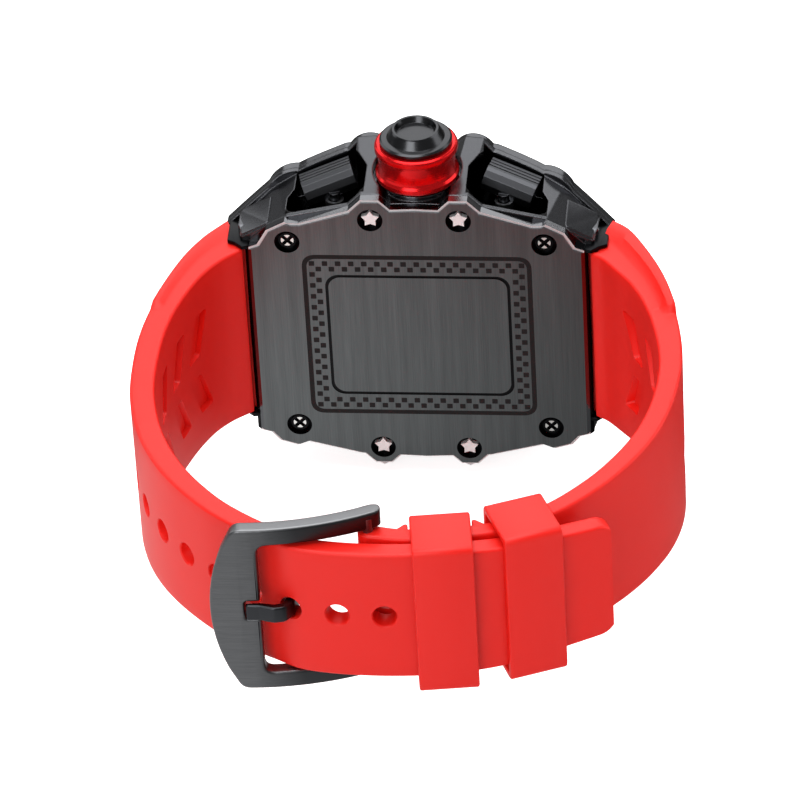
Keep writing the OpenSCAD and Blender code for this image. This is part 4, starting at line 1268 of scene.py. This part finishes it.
@dataclass
class Buckle:
    """The bent buckle frame and its tang, with softened edges.

    Attributes:
        pin: axis of the spring bar.
        curve_r: radius of the bent frame's outer face, about curve_mid.
        thick: thickness of the frame.
        half: half width of the frame over its arms.
        arm: width of an arm.
        tang_x: place of the tang's bend.
        crossbar_x: place of the crossbar's inner edge, and how deep the tang's seat is cut in it.
        side_mid_x: middle of the curve of the frame's outer side, of radius side_r.
        tang_half: half width of the tang.
        arm_past: how far the arms reach past the round of the pin.
        eye_r: radius of the tang's eye.
        frame_soft: radius of the frame's rims.
        tang_soft: radius of the tang's rims.
        strip: width of the strips into which the frame is cut round its end.
        weld: distance under which the frame's points are made one.
    """

    wardrobe: Wardrobe
    pin: Point = (-1.1, -54.9)
    curve_r: float = 37.0
    curve_mid: Point = (-17.5, -22.35)
    thick: float = 2.05
    half: float = 12.1
    arm: float = 2.45
    tang_x: float = -10.3
    crossbar_x: Point = (-14.3, 1.9)
    side_mid_x: float = 2.9
    side_r: float = 23.5
    tang_half: float = 1.15
    arm_past: float = 0.9
    eye_r: float = 1.25
    frame_soft: float = 0.42
    tang_soft: float = 0.3
    strip: float = 0.12
    weld: float = 0.004

    def outline(self) -> list[Point]:
        """Flat outline of the frame, along the strap and across it, anticlockwise.

        Returns:
            The outline's points in order.
        """
        end_x = self.pin[0] + self.thick / 2 + self.arm_past
        corner = self.side_mid_x - math.sqrt(self.side_r**2 - self.half**2)
        inner, slot = self.half - self.arm, self.tang_half + 0.15
        bar, seat = self.crossbar_x[0], self.crossbar_x[0] - self.crossbar_x[1]
        places = [self.half - 2 * self.half * k / 16 for k in range(2, 15)]
        shape = [(end_x, self.half, 0.25), (corner, self.half, 1.7)]
        shape += [(self.side_mid_x - math.sqrt(self.side_r**2 - z**2), z, 0.0) for z in places]
        shape += [
            (corner, -self.half, 1.7), (end_x, -self.half, 0.25), (end_x, -inner, 0.25), (bar, -inner, 1.3),
            (bar, -slot, 0.3), (seat, -slot, 0.35), (seat, slot, 0.35),
            (bar, slot, 0.3), (bar, inner, 1.3), (end_x, inner, 0.25),
        ]
        return rounded_shape(shape, 5)

    def bend(self, x: float, depth: float) -> Vector:
        """Place on the bent frame of a point along it and under its outer face.

        Args:
            x: place along the flat frame.
            depth: depth under its outer face.

        Returns:
            The place in the side view.
        """
        past = (x - self.pin[0] - self.arm_past) / (self.thick / 2)
        if past > 0:
            shrink = math.sqrt(max(0.0, 1 - min(past, 1.0) ** 2))
            depth = self.thick / 2 + (depth - self.thick / 2) * shrink
        dx = x - self.curve_mid[0]
        out = Vector((dx, -math.sqrt(self.curve_r**2 - dx * dx), 0)).normalized()
        return Vector((*self.curve_mid, 0)) + out * (self.curve_r - depth)

    def frame(self) -> None:
        """Builds the frame from its outline, cut into strips and bent."""
        work = rounded_plate(self.outline(), self.thick, self.frame_soft, 5)
        cuts = [float(k) for k in range(-20, -1)]
        cuts += [self.pin[0] + self.arm_past + self.strip * k for k in range(9)]
        for x in cuts:
            geom = work.verts[:] + work.edges[:] + work.faces[:]
            bmesh.ops.bisect_plane(work, geom=geom, plane_co=(x, 0, 0), plane_no=(1, 0, 0), dist=1e-5)
        for v in work.verts:
            across = v.co.y
            v.co = self.bend(v.co.x, v.co.z)
            v.co.z = across
        bmesh.ops.remove_doubles(work, verts=work.verts, dist=self.weld)
        piece = new_mesh("buckle_shell", work)
        self.wardrobe.dress(piece, BUCKLE_STEEL)
        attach(piece, "buckle")
        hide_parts("buckle_frame")

    def tang(self) -> None:
        """Builds the tang from its bent side view, with its eye round the pin."""
        t = self.tang_x
        side = [
            (-2.2, -54.1, 0), (-5.5, -54.8, 1), (t + 1.1, -54.3, 0.9), (t - 0.3, -55.2, 0.9), (t - 0.9, -57.4, 1),
            (t - 1.35, -58.9, 0.6), (t - 2.3, -59.2, 0.8), (t - 4.3, -58.95, 1), (t - 5.8, -59.2, 0.25),
            (t - 5.7, -59.8, 0.25), (t - 4.1, -59.8, 1), (t - 2.3, -60.3, 1.2), (t - 0.9, -60.0, 1.2),
            (t + 0.1, -58.5, 1), (t + 0.45, -56.3, 0.8), (t + 1.8, -55.55, 1), (-5.5, -56.0, 1), (-2.2, -55.7, 0),
        ]
        turns = [math.radians(a) for a in range(-140, 141, 20)]
        eye = [(self.pin[0] + self.eye_r * math.cos(a), self.pin[1] + self.eye_r * math.sin(a)) for a in turns]
        work = rounded_plate(rounded_shape(side) + eye, 2 * self.tang_half, self.tang_soft, low=-self.tang_half)
        piece = new_mesh("buckle_tongue", work, 40)
        self.wardrobe.dress(piece, TANG_STEEL)
        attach(piece, "tang")
        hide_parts("buckle_tang")

    def build(self) -> None:
        """Builds the frame and the tang."""
        self.frame()
        self.tang()


@dataclass
class EtchedBorder:
    """Two staggered rows of small laser-etched squares between the frame's two grooves.

    Attributes:
        rows: half size of each row of squares, along and across.
        counts: squares along and across in the outer row.
        square: side of a square.
        square_r: radius of its corners.
        lift: half thickness of the etched film.
        band: half sizes of the wide etched line's outer and inner edge, and their corner radii.
    """

    wardrobe: Wardrobe
    rows: Sequence[Point] = ((13.6, 11.14), (12.75, 10.28))
    counts: tuple[int, int] = (16, 13)
    square: float = 0.72
    square_r: float = 0.08
    lift: float = 0.012
    band: Sequence[Triple] = ((14.88, 12.48, 1.9), (14.26, 11.86, 1.3))

    def build(self) -> None:
        """Builds the squares and the wide line as thin etched marks on the back."""
        work = bmesh.new()
        pitch_x, pitch_z = (2 * half / count for half, count in zip(self.rows[0], self.counts))
        for row, (half_x, half_z) in enumerate(self.rows):
            along = [-half_x + pitch_x * k for k in range(self.counts[0] + 1 - row)]
            across = [-half_z + pitch_z * k for k in range(1, self.counts[1] - row)]
            for side in (1, -1):
                for x, z in [(x, side * half_z) for x in along] + [(side * half_x, z) for z in across]:
                    box = rounded_corners(box_corners(self.square / 2, self.square / 2), self.square_r, 2)
                    loft(work, [[(x + u, y, z + v) for u, v in box] for y in (-self.lift, self.lift)])
        outer, inner = (rounded_corners(box_corners(u, w), r, 8) for u, w, r in self.band)
        edges = ((outer, -self.lift), (inner, -self.lift), (inner, self.lift), (outer, self.lift))
        loft(work, [[(x, y, z) for x, z in edge] for edge, y in edges], looped=True)
        piece = new_mesh("back_etched_border", work)
        self.wardrobe.dress(piece, LASER_ETCH)
        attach(piece, "case")


@dataclass
class CaseEnds:
    """Near-black cheeks beside the strap roots, in a darker copy of the plating that paints their shade, and smooth
    shoulders over the bar ends at the crown side.

    Attributes:
        outline: outline of a cheek in the side view, with the radius of each corner.
        inner_z: inner face of a cheek, of thickness thick.
        corners: corners of the shoulder at the 12 o'clock end.
        cheek_soft: radius of a cheek's rims.
        soft_mm: radius of the shoulder's edges.
    """

    wardrobe: Wardrobe
    outline: Sequence[Triple] = (
        (21.7, 0.5, 0), (22.6, 0.2, 0.3), (23.6, 1.2, 0.5), (24.6, 1.7, 0.3), (24.75, 6.6, 0.2), (21.7, 7.3, 0),
    )
    inner_z: float = 12.95
    thick: float = 0.55
    corners: Sequence[Triple] = (
        (19.0, 1.65, 16.2), (20.9, 1.65, 14.7), (22.9, 1.7, 14.15), (22.9, 1.7, 12.95), (19.0, 1.65, 12.95),
        (19.0, 7.2, 17.0), (21.0, 7.1, 16.1), (23.5, 6.7, 14.9), (23.5, 6.7, 12.95), (19.0, 7.2, 12.95),
    )
    cheek_soft: float = 0.12
    soft_mm: float = 0.22

    def cheek(self, side_x: int, side_z: int) -> Mesh:
        """One cheek: a thin plate with rounded rims.

        Args:
            side_x: +1 for the 12 o'clock end, -1 for the other.
            side_z: +1 for the crown side, -1 for the other.

        Returns:
            The closed mesh, in millimetres.
        """
        work = rounded_plate(rounded_shape(self.outline, 3), self.thick, self.cheek_soft, 3, low=self.inner_z)
        bmesh.ops.scale(work, vec=(side_x, 1, side_z), verts=work.verts)
        return work

    def shoulder(self, side_x: int) -> Mesh:
        """One shoulder: the hull of its corners with softened edges.

        Args:
            side_x: +1 for the 12 o'clock end, -1 for the other.

        Returns:
            The closed mesh, in millimetres.
        """
        work = bmesh.new()
        for x, y, z in self.corners:
            work.verts.new((side_x * x, y, z))
        hull = bmesh.ops.convex_hull(work, input=work.verts)
        spare = {v for v in hull["geom_interior"] + hull["geom_unused"] if isinstance(v, bmesh.types.BMVert)}
        bmesh.ops.delete(work, geom=list(spare), context="VERTS")
        bmesh.ops.dissolve_limit(work, angle_limit=math.radians(2.0), verts=work.verts, edges=work.edges)
        bmesh.ops.bevel(
            work, geom=list(work.edges), offset=self.soft_mm, segments=3, affect="EDGES", clamp_overlap=True
        )
        return work

    def build(self) -> None:
        """Builds the cheeks as one piece and the shoulders as another."""
        cheeks = [self.cheek(*signs) for signs in ((1, 1), (-1, 1), (1, -1), (-1, -1))]
        shoulders = [self.shoulder(side) for side in (1, -1)]
        for name, parts, finish, smooth_deg in (
            ("case_end_cheeks", cheeks, CHEEK_PLATE, SMOOTH_DEG),
            ("case_end_shoulders", shoulders, CASE_PLATE, 12.0),
        ):
            piece, *others = [new_mesh(name, part, smooth_deg) for part in parts]
            join(piece, others)
            self.wardrobe.dress(piece, finish)
            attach(piece, "case")


@dataclass
class Studio:
    """White floor, soft lamps and the camera at the photograph's angle.

    Attributes:
        floor_z: height of the floor, in metres.
        floor_half_mm: half the length of its sides.
        azimuth: the camera's turn round Z, in degrees.
        elevation: its height angle.
        roll: its turn about its own axis.
        distance: its distance from the origin.
        shift_right: how far it stands to the left of the line to the origin.
        shift_up: how far it stands below that line.
        lens: its lens, in millimetres.
        floor_lift: light that the floor adds to what the camera sees of it.
        fill: strength of the even light.
        mirror_x: places along the watch, and what mirrors see of the floor at each.
        mirror_y: places before and behind the back, and the share that mirrors see there.
        mirror_sky: what mirrors see of the sky.
        aim: the point that the lamps face.
        lamps: name, place and size in metres, and power in watts, of each lamp.
    """

    floor_z: float
    floor_half_mm: float = 1500
    azimuth: float = 7.155
    elevation: float = 35.2
    roll: float = -3.346
    distance: float = 0.7607
    shift_right: float = 2.626 * MM
    shift_up: float = 8.343 * MM
    lens: float = 263.6
    floor_lift: float = 0.85
    fill: float = 0.27
    mirror_x: Row = (-0.02, 0.03, 0.9, 0.25)
    mirror_y: Row = (-0.008, 0.01, 1.0, 0.2)
    mirror_sky: float = 0.2
    aim: Triple = (0, -0.025, 0)
    lamps: Sequence[tuple[str, Triple, Point, float]] = (
        ("top_softbox", (-0.05, 0.0, 0.75), (0.8, 0.6), 5.5),
        ("front_softbox", (-0.25, -0.8, 0.45), (0.5, 0.4), 2.8),
        ("back_softbox", (0.0, 0.65, 0.5), (0.8, 0.5), 2.2),
        ("left_softbox", (-0.65, 0.3, 0.35), (0.5, 0.5), 1.2),
        ("right_softbox", (0.65, 0.2, 0.3), (0.5, 0.5), 1.5),
    )

    def camera(self) -> None:
        """Places the camera."""
        a, e, r = (math.radians(v) for v in (self.azimuth, self.elevation, self.roll))
        back = Vector((math.sin(a) * math.cos(e), -math.cos(a) * math.cos(e), math.sin(e)))
        right = Vector((math.cos(a), math.sin(a), 0))
        up = back.cross(right)
        right_r = right * math.cos(r) + up * math.sin(r)
        up_r = up * math.cos(r) - right * math.sin(r)
        data = bpy.data.cameras.new("camera")
        data.lens = self.lens
        data.sensor_width = 36.0
        data.clip_start, data.clip_end = 0.05, 10.0
        camera = bpy.data.objects.new("camera", data)
        bpy.context.scene.collection.objects.link(camera)
        turn = Matrix((right_r, up_r, back)).transposed().to_4x4()
        place = back * self.distance - right_r * self.shift_right - up_r * self.shift_up
        camera.matrix_world = Matrix.Translation(place) @ turn
        bpy.context.scene.camera = camera

    def lamp(self, name: str, place: Triple, size: Point, power: float) -> None:
        """Adds one soft rectangular lamp that faces the watch.

        Args:
            name: the lamp's name.
            place: where it hangs, in metres.
            size: its width and height, in metres.
            power: its power, in watts.
        """
        data = bpy.data.lights.new(name, "AREA")
        data.shape = "RECTANGLE"
        data.size, data.size_y = size
        data.energy = power
        lamp = bpy.data.objects.new(name, data)
        lamp.location = place
        lamp.rotation_mode = "QUATERNION"
        lamp.rotation_quaternion = (Vector(self.aim) - Vector(place)).to_track_quat("-Z", "Y")
        bpy.context.scene.collection.objects.link(lamp)

    @staticmethod
    def by_ray(tree: Tree, plain: Socket, seen: Socket, mirrored: Socket) -> Socket:
        """Chooses what plain rays, the camera and mirrors see.

        Args:
            tree: the node tree of a material or world.
            plain: what other rays see.
            seen: what the camera sees.
            mirrored: what mirrors see.

        Returns:
            The chosen shader.
        """
        path = add(tree, "LightPath").outputs
        first = add(tree, "MixShader", {0: path["Is Camera Ray"], 1: plain, 2: seen}).outputs[0]
        return add(tree, "MixShader", {0: path["Is Glossy Ray"], 1: first, 2: mirrored}).outputs[0]

    def floor(self) -> None:
        """Adds the white floor, which the camera sees as white and which keeps the shadow; in mirrors it glows white,
        brighter towards negative X and in front of the back.
        """
        work = bmesh.new()
        bmesh.ops.create_grid(work, x_segments=2, y_segments=2, size=self.floor_half_mm)
        bmesh.ops.translate(work, vec=(0, 0, self.floor_z / MM), verts=work.verts)
        floor = new_mesh("floor", work)
        material = bpy.data.materials.new("white_paper_floor")
        material.use_nodes = True
        tree = material.node_tree
        tree.nodes.clear()
        inputs = {"Base Color": linear("#E6E6E6"), "Roughness": 0.9, "Specular IOR Level": 0.0}
        paper = add(tree, "BsdfPrincipled", inputs).outputs[0]
        lift = add(tree, "Emission", {"Color": linear("#FFFFFF"), "Strength": self.floor_lift}).outputs[0]
        seen = add(tree, "AddShader", {0: paper, 1: lift}).outputs[0]
        spot = add(tree, "SeparateXYZ", {0: add(tree, "NewGeometry").outputs["Position"]}).outputs
        bright = all_of(
            tree,
            *(
                add(tree, "MapRange", {0: axis, 1: span[0], 2: span[1], 3: span[2], 4: span[3]}).outputs[0]
                for axis, span in ((spot[0], self.mirror_x), (spot[1], self.mirror_y))
            ),
        )
        mirrored = add(tree, "Emission", {"Color": linear("#FFFFFF"), "Strength": bright}).outputs[0]
        add(tree, "OutputMaterial", {"Surface": self.by_ray(tree, paper, seen, mirrored)})
        floor.data.materials.append(material)
        floor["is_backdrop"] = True

    def world(self) -> None:
        """Lights the scene evenly, shows white behind it and stays dim in mirrors."""
        world = bpy.data.worlds.new("studio")
        bpy.context.scene.world = world
        world.use_nodes = True
        tree = world.node_tree
        tree.nodes.clear()
        fill, white, dim = (
            add(tree, "Background", {"Color": linear("#FFFFFF"), "Strength": strength}).outputs[0]
            for strength in (self.fill, 1.0, self.mirror_sky)
        )
        add(tree, "OutputWorld", {"Surface": self.by_ray(tree, fill, white, dim)})

    def build(self) -> None:
        """Sets up the whole studio."""
        self.camera()
        self.floor()
        self.world()
        for lamp in self.lamps:
            self.lamp(*lamp)
        bpy.context.scene.view_settings.view_transform = "Standard"


def main() -> None:
    """Builds the watch's looks in order."""
    logging.basicConfig(level=logging.INFO, format="%(name)s: %(message)s")
    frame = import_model()
    cad_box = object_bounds()
    wardrobe = Wardrobe()
    Studio(floor_z=cad_box[0].z - 0.02 * MM).build()
    wardrobe.dress_carried(frame["nodes"])
    Strap(wardrobe).build()
    Keeper(wardrobe, "keeper_fixed", "case", (8.0, -56.75), 8.0, 8.2).build()
    Keeper(wardrobe, "keeper_free", "free_keeper", (17.67, -53.43), 23.5, 8.4).build()
    Buckle(wardrobe).build()
    EtchedBorder(wardrobe).build()
    CaseEnds(wardrobe).build()


if __name__ == "__main__":
    main()
